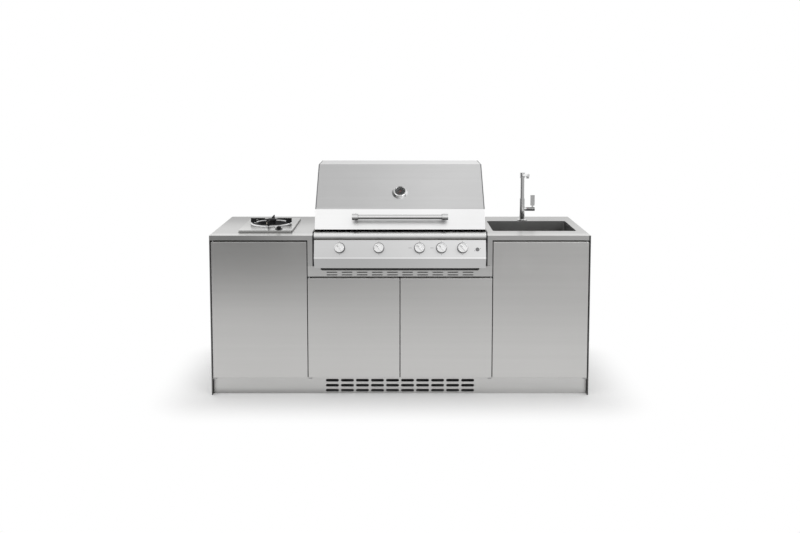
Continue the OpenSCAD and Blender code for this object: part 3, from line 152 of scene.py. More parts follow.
class KitchenStageSettings(bpy.types.PropertyGroup):
    floor_size: length("Floor size", "Side of the square floor", 40.0)
    floor_colour: tint("Floor", "Colour of the floor", (0.90, 0.90, 0.90))
    key_power: FloatProperty(name="Key lamp", description="Power of the soft lamp at the front right",
                             default=52.0, min=0.0, unit="POWER")
    fill_power: FloatProperty(name="Fill lamp", description="Power of the soft lamp at the front left",
                              default=36.0, min=0.0, unit="POWER")
    shadow_reach: length("Shadow reach", "How far from the kitchen the floor shows its shadow", 0.36)
    mirror_reach: length("Mirror reach", "How far from the kitchen metal shows the lit floor", 0.25)
    # The floor behind the plinth is painted nearly black out to this depth, painted shade in the toe space
    toe_depth: length("Toe depth", "How far behind the plinth the floor is dark", 0.45)
    room_level: share("Room level", "Light that the room adds from all round", 0.86)
    low_wall: share("Low wall", "Tone of the room in front, at eye level, as metal shows it", 0.42)
    high_wall: share("High wall", "Tone of the room in front, higher up, as metal shows it", 1.04, 2.0)
    ceiling_level: share("Ceiling level", "Tone of the ceiling against the walls", 0.58)
    near_floor: share("Near floor", "Tone of the floor beside the kitchen, as metal shows it", 0.86)
    far_floor: share("Far floor", "Tone of the floor far in front, as metal shows it", 0.42)
    camera_distance: length("Camera distance", "Distance of the camera from the door fronts", 4.58165)
    camera_height: length("Camera height", "Height of the camera above the floor", 1.74931)
    camera_tilt: FloatProperty(name="Camera tilt", description="How far the camera looks down",
                               default=0.0827, subtype="ANGLE", unit="ROTATION")
    lens: FloatProperty(name="Lens", description="Focal length in millimetres", default=37.9688, min=1.0)
    shift: FloatProperty(name="Shift", description="Vertical shift of the lens", default=-0.145)


# Shader node groups

class Net:
    """A node tree with short calls for its nodes and links."""

    def __init__(self, tree):
        self.tree = tree

    def node(self, kind, **values):
        made = self.tree.nodes.new(kind)
        for key, value in values.items():
            setattr(made, key, value)
        return made

    def feed(self, socket, value):
        if isinstance(value, bpy.types.NodeSocket):
            self.tree.links.new(value, socket)
        else:
            socket.default_value = value

    def feed_all(self, node, *values):
        """Feeds a node's inputs in their order."""
        for socket, value in zip(node.inputs, values):
            self.feed(socket, value)
        return node.outputs

    def fill(self, node, **values):
        """Feeds a node's inputs by their names, with an underscore for a space."""
        for key, value in values.items():
            self.feed(node.inputs[key.replace("_", " ")], value)
        return node.outputs

    def math(self, operation, *values, clamp=False):
        made = self.node("ShaderNodeMath", operation=operation, use_clamp=clamp)
        return self.feed_all(made, *values)[0]

    def add(self, a, b):
        return self.math("ADD", a, b)

    def sub(self, a, b):
        return self.math("SUBTRACT", a, b)

    def mul(self, a, b):
        return self.math("MULTIPLY", a, b)

    def vector(self, operation, *values):
        made = self.node("ShaderNodeVectorMath", operation=operation)
        found = self.feed_all(made, *values)
        return found["Value" if operation in ("DOT_PRODUCT", "LENGTH") else "Vector"]

    def ramp(self, value, low, high, out_low=0.0, out_high=1.0):
        made = self.node("ShaderNodeMapRange", interpolation_type="SMOOTHSTEP")
        return self.feed_all(made, value, low, high, out_low, out_high)[0]

    def mix(self, factor, a, b, blend="MIX"):
        made = self.node("ShaderNodeMix", data_type="RGBA", blend_type=blend)
        self.feed(made.inputs[0], factor)
        self.feed(made.inputs[6], a)
        self.feed(made.inputs[7], b)
        return made.outputs[2]

    def noise(self, vector, scale, detail=2.0, rough=0.5):
        made = self.node("ShaderNodeTexNoise")
        return self.fill(made, Vector=vector, Scale=scale, Detail=detail, Roughness=rough)[0]

    def xyz(self, vector):
        return self.feed_all(self.node("ShaderNodeSeparateXYZ"), vector)

    def join(self, x, y, z):
        return self.feed_all(self.node("ShaderNodeCombineXYZ"), x, y, z)[0]


def new_group(name, inputs, outputs):
    """Makes a node group; inputs are (name, type, default) and outputs (name, type)."""
    tree = bpy.data.node_groups.new(name, "ShaderNodeTree")
    for label, kind, default in inputs:
        socket = tree.interface.new_socket(name=label, in_out="INPUT", socket_type="NodeSocket" + kind)
        if default is not None:
            socket.default_value = default
    for label, kind in outputs:
        tree.interface.new_socket(name=label, in_out="OUTPUT", socket_type="NodeSocket" + kind)
    net = Net(tree)
    return net, net.node("NodeGroupInput").outputs, net.node("NodeGroupOutput").inputs


def group_grain():
    """Fine brushed lines along one direction, with broader streaks under them."""
    net, given, out = new_group("Brushed_Grain", [
        ("Vector", "Vector", None), ("Across", "Vector", (0, 1, 1)), ("Along", "Vector", (1, 0, 0)),
        ("Pitch", "Float", 0.0016), ("Depth", "Float", 0.1)], [("Tone", "Float"), ("Height", "Float")])
    per_metre = net.math("DIVIDE", 1.0, given["Pitch"])
    across = net.vector("MULTIPLY", given["Vector"], given["Across"])
    along = net.vector("MULTIPLY", given["Vector"], given["Along"])
    stretched = net.fill(net.node("ShaderNodeVectorMath", operation="SCALE"), Vector=along, Scale=0.012)
    place = net.vector("ADD", across, stretched["Vector"])
    fine = net.noise(place, per_metre, 2.0)
    broad = net.noise(place, net.mul(per_metre, 0.06), 1.0)
    both = net.add(net.mul(fine, 0.45), net.mul(broad, 0.55))
    signed = net.mul(net.sub(both, 0.5), given["Depth"])
    net.feed(out["Tone"], net.add(1.0, signed))
    net.feed(out["Height"], fine)
    return net.tree


def group_painted_sheen():
    """Painted shade on a large sheet: darker from a start to an end along one direction, by a loss that changes
    across it, and lighter where the loss is below zero, a painted highlight; with soft random clouds.
    """
    net, given, out = new_group("Painted_Sheen", [
        ("Vector", "Vector", None), ("Colour", "Color", (0.5, 0.5, 0.5, 1.0)), ("Grain", "Float", 1.0),
        ("Run", "Vector", (0, 0, 1)), ("Run Start", "Float", 0.0), ("Run End", "Float", 1.0),
        ("Cross", "Vector", (1, 0, 0)), ("Cross Start", "Float", -1.0), ("Cross End", "Float", 1.0),
        ("Start Loss", "Float", 0.0), ("End Loss", "Float", 0.0)], [("Colour", "Color")])
    along_run = net.vector("DOT_PRODUCT", given["Vector"], given["Run"])
    run = net.ramp(along_run, given["Run Start"], given["Run End"])
    along_cross = net.vector("DOT_PRODUCT", given["Vector"], given["Cross"])
    cross = net.ramp(along_cross, given["Cross Start"], given["Cross End"], given["Start Loss"],
                     given["End Loss"])
    # Painted shade and highlight: the share of tone kept after the run's ramp times the loss
    kept = net.sub(1.0, net.mul(run, cross))
    cloud = net.add(0.975, net.mul(net.noise(given["Vector"], 1.7, 1.0), 0.05))
    tone = net.mul(kept, net.mul(cloud, given["Grain"]))
    grey = net.join(tone, tone, tone)
    net.feed(out["Colour"], net.mix(1.0, given["Colour"], grey, "MULTIPLY"))
    return net.tree


def group_facing():
    """Shade on the faces that look along a direction, such as undersides."""
    net, given, out = new_group("Facing_Shade", [
        ("Direction", "Vector", (0, 0, -1)), ("Low", "Float", 0.05), ("High", "Float", 0.45),
        ("Loss", "Float", 0.5)], [("Tone", "Float")])
    normal = net.node("ShaderNodeNewGeometry").outputs["Normal"]
    turned = net.ramp(net.vector("DOT_PRODUCT", normal, given["Direction"]), given["Low"], given["High"])
    net.feed(out["Tone"], net.sub(1.0, net.mul(turned, given["Loss"])))
    return net.tree


def group_edge():
    """A mask of the narrow rounded edges, and the normal that rounds them."""
    net, given, out = new_group("Edge_Wear_And_Highlight", [
        ("Radius", "Float", 0.0015)], [("Mask", "Float"), ("Normal", "Vector")])
    rounded_normal = net.fill(net.node("ShaderNodeBevel", samples=4), Radius=given["Radius"])["Normal"]
    flat = net.node("ShaderNodeNewGeometry").outputs["Normal"]
    same = net.vector("DOT_PRODUCT", rounded_normal, flat)
    net.feed(out["Mask"], net.ramp(same, 1.0, 0.93))
    net.feed(out["Normal"], rounded_normal)
    return net.tree


def group_patina():
    """Handling marks and weathering: a soft uneven mask."""
    net, given, out = new_group("Patina", [
        ("Vector", "Vector", None), ("Scale", "Float", 6.0), ("Cover", "Float", 0.5)], [("Mask", "Float")])
    large = net.noise(given["Vector"], given["Scale"], 4.0, 0.6)
    small = net.noise(given["Vector"], net.mul(given["Scale"], 7.0), 3.0, 0.6)
    both = net.add(net.mul(large, 0.7), net.mul(small, 0.3))
    edge = net.sub(0.75, net.mul(given["Cover"], 0.5))
    net.feed(out["Mask"], net.ramp(both, edge, net.add(edge, 0.25)))
    return net.tree


def group_grit():
    """The pitted skin of a cast or powder-coated surface."""
    net, given, out = new_group("Cast_Grit", [
        ("Vector", "Vector", None), ("Grain Size", "Float", 0.002)], [("Height", "Float"), ("Tone", "Float")])
    per_metre = net.math("DIVIDE", 1.0, given["Grain Size"])
    cells = net.node("ShaderNodeTexVoronoi", feature="SMOOTH_F1")
    distance = net.fill(cells, Vector=given["Vector"], Scale=per_metre)["Distance"]
    rough = net.noise(given["Vector"], net.mul(per_metre, 0.35), 3.0)
    height = net.add(net.mul(distance, 0.5), rough)
    net.feed(out["Height"], height)
    net.feed(out["Tone"], net.add(0.75, net.mul(height, 0.4)))
    return net.tree


GROUPS = {}


def build_groups():
    for make in (group_grain, group_painted_sheen, group_facing, group_edge, group_patina, group_grit):
        tree = make()
        GROUPS[tree.name] = tree


# Materials

MATERIALS = {}
# Painted shade and highlight steps of each material, by the material's name
PAINTED_SHEENS = {}


def start_material(name):
    """Starts a material under its name; returns its tree, shader and place on the object."""
    made = bpy.data.materials.new(name)
    made.use_nodes = True
    MATERIALS[name] = made
    net = Net(made.node_tree)
    place = net.node("ShaderNodeTexCoord").outputs["Object"]
    return net, made.node_tree.nodes["Principled BSDF"], place


def place_group(net, name, **values):
    return net.fill(net.node("ShaderNodeGroup", node_tree=GROUPS[name]), **values)


def rgba(colour):
    return (*colour, 1.0)


def brushed(name, colour, rough=0.3, edge=0.0012, upright=False, facing=None):
    """Brushed sheet steel: grain, the sheet's painted shade and highlight steps, a painted highlight on its
    rounded edges, and handling marks.
    """
    settings = bpy.context.scene.kitchen_finish
    net, shader, place = start_material(name)
    across, along = ((1, 1, 0), (0, 0, 1)) if upright else ((0, 1, 1), (1, 0, 0))
    grain = place_group(net, "Brushed_Grain", Vector=place, Across=across, Along=along,
                        Pitch=settings.grain_pitch, Depth=settings.grain_depth)
    tone = rgba(colour)
    shade = grain["Tone"]
    # Painted shade from Facing_Shade: faces that turn along its direction are darker
    if facing:
        shade = net.mul(shade, place_group(net, "Facing_Shade", **facing)["Tone"])
    for values in PAINTED_SHEENS.get(name, ({},)):
        tone = place_group(net, "Painted_Sheen", Vector=place, Colour=tone, Grain=shade, **values)["Colour"]
        shade = 1.0
    highlight_and_wear = place_group(net, "Edge_Wear_And_Highlight", Radius=edge)
    marks = place_group(net, "Patina", Vector=place, Scale=5.0, Cover=0.5)
    # Painted highlight: the rounded edges are mixed toward this lighter colour
    bright = rgba(min(1.0, c * 0.5 + 0.45) for c in colour)
    streaks = net.mul(net.sub(grain["Height"], 0.5), 0.10)
    smears = net.mul(marks["Mask"], 0.05)
    relief = net.fill(net.node("ShaderNodeBump"), Strength=0.05, Distance=0.0002, Height=grain["Height"],
                      Normal=highlight_and_wear["Normal"])["Normal"]
    net.fill(shader, Base_Color=net.mix(net.mul(highlight_and_wear["Mask"], settings.highlight_and_wear), tone, bright), Metallic=1.0,
             Roughness=net.add(rough, net.add(streaks, smears)), Normal=relief)


def smooth_metal(name, colour, rough=0.12, cover=0.4):
    """Polished, plated or satin metal with slight smears."""
    net, shader, place = start_material(name)
    edges = place_group(net, "Edge_Wear_And_Highlight", Radius=0.001)
    marks = place_group(net, "Patina", Vector=place, Scale=14.0, Cover=cover)
    dull = rgba(c * 0.88 for c in colour)
    net.fill(shader, Base_Color=net.mix(net.mul(marks["Mask"], 0.6), rgba(colour), dull), Metallic=1.0,
             Roughness=net.add(rough, net.mul(marks["Mask"], 0.08)), Normal=edges["Normal"])


def coated(name, colour, rough, grit, bump, worn=None, gloss=0.5):
    """Cast, enamelled, moulded or painted surface with its own fine relief."""
    net, shader, place = start_material(name)
    skin = place_group(net, "Cast_Grit", Vector=place, Grain_Size=grit)
    highlight_and_wear = place_group(net, "Edge_Wear_And_Highlight", Radius=0.0012)
    marks = place_group(net, "Patina", Vector=place, Scale=9.0, Cover=0.5)
    tone = net.join(skin["Tone"], skin["Tone"], skin["Tone"])
    base = net.mix(1.0, rgba(colour), tone, "MULTIPLY")
    worn = rgba(worn or (min(1.0, c * 1.6 + 0.01) for c in colour))
    rubbed = net.math("ADD", net.mul(highlight_and_wear["Mask"], 0.5), net.mul(marks["Mask"], 0.18), clamp=True)
    relief = net.fill(net.node("ShaderNodeBump"), Strength=bump, Distance=0.0003, Height=skin["Height"],
                      Normal=highlight_and_wear["Normal"])["Normal"]
    net.fill(shader, Base_Color=net.mix(rubbed, base, worn), Specular_IOR_Level=gloss, Normal=relief,
             Roughness=net.add(rough, net.mul(marks["Mask"], 0.12)))


def clear_glass(name):
    """Clear glass with faint smears."""
    net, shader, place = start_material(name)
    marks = place_group(net, "Patina", Vector=place, Scale=40.0, Cover=0.3)
    clean, smeared = (0.97, 0.98, 0.98, 1.0), (0.90, 0.92, 0.92, 1.0)
    net.fill(shader, Base_Color=net.mix(marks["Mask"], clean, smeared), Transmission_Weight=1.0, IOR=1.45,
             Roughness=net.add(0.02, net.mul(marks["Mask"], 0.05)))


def band(run, start, end, loss, right_loss=None, across=(-1.0, 1.0)):
    """A painted shade step that comes in from start to end along a direction, and may change from left to right; a
    loss below zero paints a highlight.
    """
    return dict(Run=run, Run_Start=start, Run_End=end, Cross_Start=across[0], Cross_End=across[1],
                Start_Loss=loss, End_Loss=loss if right_loss is None else right_loss)


def face_band(node, loss, right_loss=None, across=(-1.0, 1.0), depth=0.003, soft=0.002):
    """A painted shade step on a node's front face and on the few millimetres behind it."""
    face = -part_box(node)[0].y
    return band(FRONT, face - depth, face - depth + soft, loss, right_loss, across)


def build_painted_sheens():
    """The painted shade and highlight steps that stand in for the room's reflections and shadows on each sheet, in
    metres and in shares of its tone.
    """
    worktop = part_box("worktop_left")[0].y
    worktop_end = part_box("worktop_right")[1].x
    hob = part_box("hob_plate")[0].y
    hood_foot, hood_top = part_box("hood_skin")[0].z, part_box("hood_skin")[1].z
    hood_fold = hood_foot + 0.111
    panel_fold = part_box("control_panel")[0].z + 0.057
    rail_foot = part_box("front_rail")[0].z
    tap_arm = JOINTS["spout_swivel"]["pos_m"][0] + 0.025
    # Painted shade at the foot of the plinth and the end panels, darker near the floor
    foot_shade = band(DOWN, -0.035, 0.0, 0.32, 0.08)
    return {
        "cabinet_steel": (foot_shade,),
        # The end panels' front edges are painted dark: a painted shadow of the gaps beside the doors
        "end_steel": (foot_shade, face_band("end_panel_left", 0.80, 0.85, depth=0.004)),
        # Painted shade on the upper door brackets, which sit in the dark gaps; the lower ones keep the zinc tone
        "bracket_steel": (band(UP, 0.4, 0.5, 0.92),),
        # Painted shadow on the drip tray's front lip, under the control panel
        "tray_steel": (face_band("drip_tray", 0.94, depth=0.020),),
        # Painted reflection on the doors: darker towards the top, most on the left, and a little lighter at the
        # top right, a painted highlight
        "door_steel": (band(UP, 0.40, 0.88, 0.38, -0.08),),
        # Painted shade on the partitions' front edges, seen through the door gaps
        "carcass_steel": (face_band("partition_left", 0.88, depth=0.006, soft=0.003),),
        # Painted shade on the worktop: front faces darker, most at the left; the top darker from two centimetres
        # behind its front, leaving a lighter front line, a painted highlight, and darker again towards the back,
        # most at the left; a dark line at the right end of the front face
        "worktop_steel": (
            face_band("worktop_left", 0.27, 0.12),
            face_band("worktop_left", 0.34, 0.0, (-0.95, -0.50)),
            band(BACK, worktop + 0.02, worktop + 0.10, 0.22),
            band(BACK, worktop + 0.20, worktop + 0.62, 0.48, 0.20, (-0.7, 0.6)),
            face_band("worktop_left", 0.0, 0.75, (worktop_end - 0.011, worktop_end - 0.010))),
        # Painted shade on the hob plate: its front face darker, and its top darker towards the back
        "hob_steel": (face_band("hob_plate", 0.36), band(BACK, hob, hob + 0.30, 0.30)),
        # Painted reflection on the hood: slope and top darker towards the left, the top plane darker still, and
        # the lower panel a little darker towards the right
        "hood_steel": (
            band(UP, hood_fold - 0.01, hood_fold + 0.01, 0.20, 0.0, (-0.47, 0.30)),
            band(UP, hood_top - 0.0025, hood_top - 0.0005, 0.22),
            band(DOWN, -hood_fold - 0.01, -hood_fold + 0.01, 0.05, 0.14, (0.10, 0.46))),
        # Painted highlight on a line just above the panel's fold, painted shade on the lower strip below it, and
        # the panel darker towards the left
        "panel_steel": (
            band(DOWN, -panel_fold - 0.008, -panel_fold - 0.005, -0.23),
            band(DOWN, -panel_fold - 0.001, -panel_fold + 0.001, 0.395, 0.425),
            band(LEFT, -0.40, 0.47, 0.16)),
        # Painted shade on the tap's arm
        "tap_steel": (band(RIGHT, tap_arm - 0.002, tap_arm + 0.002, 0.62),),
        # Painted shade on the lower part of the front rail
        "rail_steel": (band(DOWN, -rail_foot - 0.018, -rail_foot - 0.004, 0.72, 0.60),),
    }


def build_steels():
    """Brushed, polished, plated and cast metals."""
    settings = bpy.context.scene.kitchen_finish
    # Painted shade on the dial case's lower left flank
    case_painted_shade = dict(Direction=(-0.8, 0, -0.6), Low=0.1, High=0.5, Loss=0.78)
    brushed("cabinet_steel", settings.cabinet_colour, 0.34)
    brushed("end_steel", settings.cabinet_colour, 0.34)
    brushed("bracket_steel", (0.50, 0.50, 0.50), 0.40)
    brushed("tray_steel", (0.66, 0.66, 0.65), 0.36)
    brushed("door_steel", settings.door_colour, 0.32, edge=0.0035)
    brushed("worktop_steel", settings.worktop_colour)
    brushed("hob_steel", (0.64, 0.64, 0.63), 0.28, edge=0.0018)
    brushed("carcass_steel", (0.52, 0.52, 0.51), 0.40, upright=True)
    brushed("hood_steel", settings.hood_colour)
    brushed("panel_steel", settings.panel_colour)
    smooth_metal("polished_steel", settings.polished_colour, 0.14)
    # Painted shade on the downward faces of the handle, the dial case and the tap
    brushed("handle_steel", settings.polished_colour, 0.16, facing=dict(Loss=0.93))
    brushed("case_steel", settings.polished_colour, 0.08, facing=case_painted_shade)
    brushed("tap_steel", settings.polished_colour, 0.12, upright=True, facing=dict(Loss=0.6))
    # The rail's steel is set brighter than the other polished steel, a painted highlight
    brushed("rail_steel", (0.95, 0.95, 0.945), 0.22)
    brushed("sink_steel", settings.sink_colour, 0.34)
    smooth_metal("zinc_steel", (0.56, 0.57, 0.58), 0.34, cover=0.7)
    brushed("fire_steel", (0.42, 0.40, 0.37), 0.42)
    smooth_metal("brass", (0.78, 0.58, 0.28), 0.25, cover=0.6)
    # Painted shade on the knobs' downward faces
    brushed("knob_metal", settings.knob_colour, 0.26, edge=0.002, upright=True, facing=dict(Loss=0.85))


def build_coats():
    """Enamels, cast iron, plastics, rubber, glass and prints."""
    settings = bpy.context.scene.kitchen_finish
    coated("dark_enamel", settings.enamel_colour, 0.30, 0.0012, 0.05, gloss=0.18)
    coated("grey_enamel", (0.16, 0.16, 0.165), 0.38, 0.0010, 0.06)
    coated("cast_iron", settings.iron_colour, 0.60, 0.0018, 0.45, worn=(0.04, 0.038, 0.036), gloss=0.15)
    coated("ceramic", (0.78, 0.70, 0.58), 0.75, 0.0025, 0.5, worn=(0.45, 0.36, 0.28))
    coated("black_plastic", (0.010, 0.010, 0.011), 0.42, 0.0008, 0.12, gloss=0.2)
    coated("grey_plastic", (0.42, 0.43, 0.43), 0.45, 0.0010, 0.08)
    coated("rubber", (0.030, 0.030, 0.030), 0.70, 0.0010, 0.15)
    clear_glass("glass")
    coated("needle_red", (0.13, 0.02, 0.016), 0.45, 0.0010, 0.03, gloss=0.3)
    coated("dial_plate", (0.035, 0.035, 0.038), 0.40, 0.0010, 0.05)
    coated("print_white", (0.62, 0.62, 0.61), 0.50, 0.0010, 0.02)
    # Black for print; also painted shade for the flame ports and the screws' cross recesses
    coated("print_and_shade_black", (0.045, 0.045, 0.047), 0.50, 0.0010, 0.02)
    coated("hot_red", (0.55, 0.05, 0.04), 0.35, 0.0010, 0.02)
    coated("cold_blue", (0.05, 0.16, 0.50), 0.35, 0.0010, 0.02)


# Nodes whose finish in the render is a variant of their slot's; the steel variants carry painted shade and
# highlight of their own
VARIANTS = {
    "handle_bar": "handle_steel", "handle_mounts": "handle_steel", "front_rail": "rail_steel",
    "burner_cap": "cast_iron", "drip_tray": "tray_steel", "hinge_brackets": "bracket_steel",
    "hob_plate": "hob_steel", "thermometer_case": "case_steel", "tap_body": "tap_steel",
    "tap_sleeve": "tap_steel", "end_panel_left": "end_steel", "end_panel_right": "end_steel",
    "ignition_button": "grey_enamel"}


# Mesh helpers

def hinge_frame(joint_name, toward=None):
    """A matrix whose Z runs along the joint's axis and whose X is level."""
    joint = JOINTS[joint_name]
    z = Vector(joint["axis"]).normalized()
    if toward is not None and z.dot(Vector(toward)) < 0:
        z = -z
    x = Vector(RIGHT)
    y = z.cross(x).normalized()
    turn = Matrix((x, y, z)).transposed().to_4x4()
    return Matrix.Translation(Vector(joint["pos_m"])) @ turn


def flat_frame(x, y, z):
    """A matrix at a place, with its axes as they are."""
    return Matrix.Translation(Vector((x, y, z)))


def spin(angle):
    """A turn round Z."""
    return Matrix.Rotation(angle, 4, "Z")


def polar(radius, angle):
    """The x and y of a place on a circle."""
    return radius * math.cos(angle), radius * math.sin(angle)


def ring(bm, matrix, outline, height):
    """New points along an outline of (x, y) at a height."""
    return [bm.verts.new(matrix @ Vector((x, y, height))) for x, y in outline]


def bridge(bm, low, high, material=0):
    """Joins two rings with faces; a ring of one point closes the form."""
    count = max(len(low), len(high))
    for i in range(count):
        after = (i + 1) % count
        corners = [low[i % len(low)], low[after % len(low)], high[after % len(high)], high[i % len(high)]]
        unique = list(dict.fromkeys(corners))
        if len(unique) > 2:
            bm.faces.new(unique).material_index = material


def lathe(bm, matrix, profile, steps, material=0):
    """Turns a profile of (radius, height) round Z; a radius of 0 closes to one point."""
    angles = [2 * math.pi * i / steps for i in range(steps)]
    rings = []
    for radius, height in profile:
        outline = [polar(radius, angle) for angle in angles] if radius > 0 else [(0, 0)]
        rings.append(ring(bm, matrix, outline, height))
    for low, high in zip(rings, rings[1:]):
        bridge(bm, low, high, material)


def prism(bm, matrix, outline, low, high, material=0):
    """Raises a closed outline of (x, y) from low to high along Z."""
    foot = ring(bm, matrix, outline, low)
    top = ring(bm, matrix, outline, high)
    bm.faces.new(list(reversed(foot))).material_index = material
    bm.faces.new(top).material_index = material
    bridge(bm, foot, top, material)


def disc(radius, height):
    """Profile of a flat disc."""
    return [(0, 0), (radius, 0), (radius, height), (0, height)]


def oblong(x0, x1, y0, y1):
    """Outline of a rectangle between two corners."""
    return [(x0, y0), (x1, y0), (x1, y1), (x0, y1)]


def rounded(width, depth, radius, steps=5):
    """Outline of a rectangle with rounded corners, centred."""
    points = []
    for corner, (side_x, side_y) in enumerate(((1, 1), (-1, 1), (-1, -1), (1, -1))):
        for i in range(steps + 1):
            x, y = polar(radius, math.radians(90 * (corner + i / steps)))
            points.append((side_x * (width / 2 - radius) + x, side_y * (depth / 2 - radius) + y))
    return points


def hollow_prism(bm, matrix, outer, inner, low, high):
    """Raises a flat frame between two outlines of equal length."""
    corners = ((outer, low), (outer, high), (inner, high), (inner, low))
    rings = [ring(bm, matrix, outline, height) for outline, height in corners]
    for here, after in zip(rings, rings[1:] + rings[:1]):
        bridge(bm, here, after)


def solids(node):
    """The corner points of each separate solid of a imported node, ordered by x and then z."""
    mesh = NODES[node].data
    bm = bmesh.new()
    bm.from_mesh(mesh)
    bmesh.ops.remove_doubles(bm, verts=bm.verts, dist=1e-6)
    left = set(bm.verts)
    found = []
    while left:
        group = [left.pop()]
        for vert in group:
            for edge in vert.link_edges:
                other = edge.other_vert(vert)
                if other in left:
                    left.remove(other)
                    group.append(other)
        found.append([vert.co.copy() for vert in group])
    bm.free()
    return sorted(found, key=lambda points: (round(min(p.x for p in points), 4), min(p.z for p in points)))


def span(points):
    """Lowest and highest corner of a list of points."""
    low = Vector((min(p.x for p in points), min(p.y for p in points), min(p.z for p in points)))
    high = Vector((max(p.x for p in points), max(p.y for p in points), max(p.z for p in points)))
    return low, high


def facing(place, direction):
    """A matrix at a place whose Z runs along a direction."""
    return Matrix.Translation(Vector(place)) @ Vector(direction).to_track_quat("Z", "Y").to_matrix().to_4x4()


def pan_head(bm, matrix, radius, height):
    """A pan head with a dark cross on top, painted shade for its recessed cross."""
    lathe(bm, matrix, [(0, 0), (radius, 0), (radius, height * 0.45), (radius * 0.82, height * 0.85),
                       (radius * 0.5, height), (0, height)], 20)
    half, reach = radius * 0.09, radius * 0.45
    for turn in (0, math.pi / 2):
        prism(bm, matrix @ spin(turn), oblong(-reach, reach, -half, half), height, height * 1.04, 1)


def show(name, data):
    """Puts new data into the scene as an object."""
    made = bpy.data.objects.new(name, data)
    bpy.context.scene.collection.objects.link(made)
    return made


def close_mesh(name, bm, materials):
    """Turns the drawn faces into a mesh with its materials."""
    mesh = bpy.data.meshes.new(name)
    bm.to_mesh(mesh)
    bm.free()
    for key in materials:
        mesh.materials.append(MATERIALS[key])
    return mesh


def finish_piece(name, bm, body, materials, bevel=0.0):
    """Closes the mesh into a shown piece that rides on its body."""
    bmesh.ops.recalc_face_normals(bm, faces=bm.faces)
    mesh = close_mesh(name, bm, materials)
    mesh.shade_smooth()
    mesh.set_sharp_from_angle(angle=math.radians(35))
    piece = show(name, mesh)
    if bevel > 0:
        rounding = piece.modifiers.new("Rounded", "BEVEL")
        rounding.width = bevel
        rounding.segments = 2
        rounding.limit_method = "ANGLE"
    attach(piece, body)


def points_of(node):
    return [vert.co for vert in NODES[node].data.vertices]


def heights(node, matrix):
    """Heights of a node's points along a matrix's Z."""
    back = matrix.inverted()
    return [(back @ point).z for point in points_of(node)]


def widest(points, centre):
    """The largest distance of the points from an upright axis."""
    return max(math.hypot(point.x - centre.x, point.y - centre.y) for point in points)


# Operators

class KITCHEN_OT_finishes(bpy.types.Operator):
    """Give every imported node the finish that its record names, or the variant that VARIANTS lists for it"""
    bl_idname = "kitchen.finishes"
    bl_label = "Finishes"

    def execute(self, context):
        build_groups()
        PAINTED_SHEENS.update(build_painted_sheens())
        build_steels()
        build_coats()
        slots = {part["node"]: part["material_slot"] for part in frame["record"]["subparts"]}
        for name, node in NODES.items():
            if name not in slots:
                raise RuntimeError(f"{name} has no material slot")
            node.data.materials.clear()
            node.data.materials.append(MATERIALS[VARIANTS.get(name, slots[name])])
        return {"FINISHED"}


class KITCHEN_OT_dial(bpy.types.Operator):
    """Lay the dial plate with its plain marks in the thermometer"""
    bl_idname = "kitchen.dial"
    bl_label = "Thermometer dial"

    def execute(self, context):
        settings = context.scene.kitchen_dial
        face = hinge_frame("thermometer_pointer_turn", (0, -1, 1))
        hole, rim = settings.plate_hole, settings.plate_radius
        low = settings.plate_gap - settings.recess
        top = low + 0.5 * MM
        bm = bmesh.new()
        lathe(bm, face, [(hole, low), (rim - 0.4 * MM, low), (rim, low + 0.2 * MM), (rim - 0.4 * MM, top),
                         (hole, top)], 64)
        finish_piece("thermometer_dial", bm, "hood", ["dial_plate"])
        bm = bmesh.new()
        first = math.radians(225)
        outer = settings.tick_reach
        for i in range(settings.ticks):
            turn = spin(first - settings.tick_sweep * i / (settings.ticks - 1))
            long = i % 5 == 0
            inner = outer - settings.tick_length * (1.0 if long else 0.55)
            half = (0.7 if long else 0.4) * MM
            prism(bm, face @ turn, oblong(inner, outer, -half, half), top, top + 0.15 * MM)
        finish_piece("thermometer_marks", bm, "hood", ["print_white"])
        return {"FINISHED"}


class KITCHEN_OT_knob_lines(bpy.types.Operator):
    """Inlay the index line on each knob's grip"""
    bl_idname = "kitchen.knob_lines"
    bl_label = "Knob index lines"

    def execute(self, context):
        settings = context.scene.kitchen_marks
        half, start = settings.line_width / 2, settings.line_start
        line = oblong(-half, half, start, start + settings.line_length)
        lean = spin(math.radians(45))
        for i in range(1, 6):
            face = hinge_frame(f"burner_knob_{i}_turn", FRONT) @ lean
            top = max(heights(f"knob_{i}", face))
            bm = bmesh.new()
            prism(bm, face, line, top, top + 0.2 * MM)
            finish_piece(f"knob_{i}_line", bm, f"burner_knob_{i}", ["print_and_shade_black"])
        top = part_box("hob_knob")[1].z - JOINTS["side_hob_knob_turn"]["pos_m"][2]
        bm = bmesh.new()
        line = oblong(-0.9 * MM, 0.9 * MM, 2.0 * MM, 11.5 * MM)
        prism(bm, hinge_frame("side_hob_knob_turn"), line, top, top + 0.2 * MM)
        finish_piece("hob_knob_line", bm, "side_hob_knob", ["print_white"])
        return {"FINISHED"}


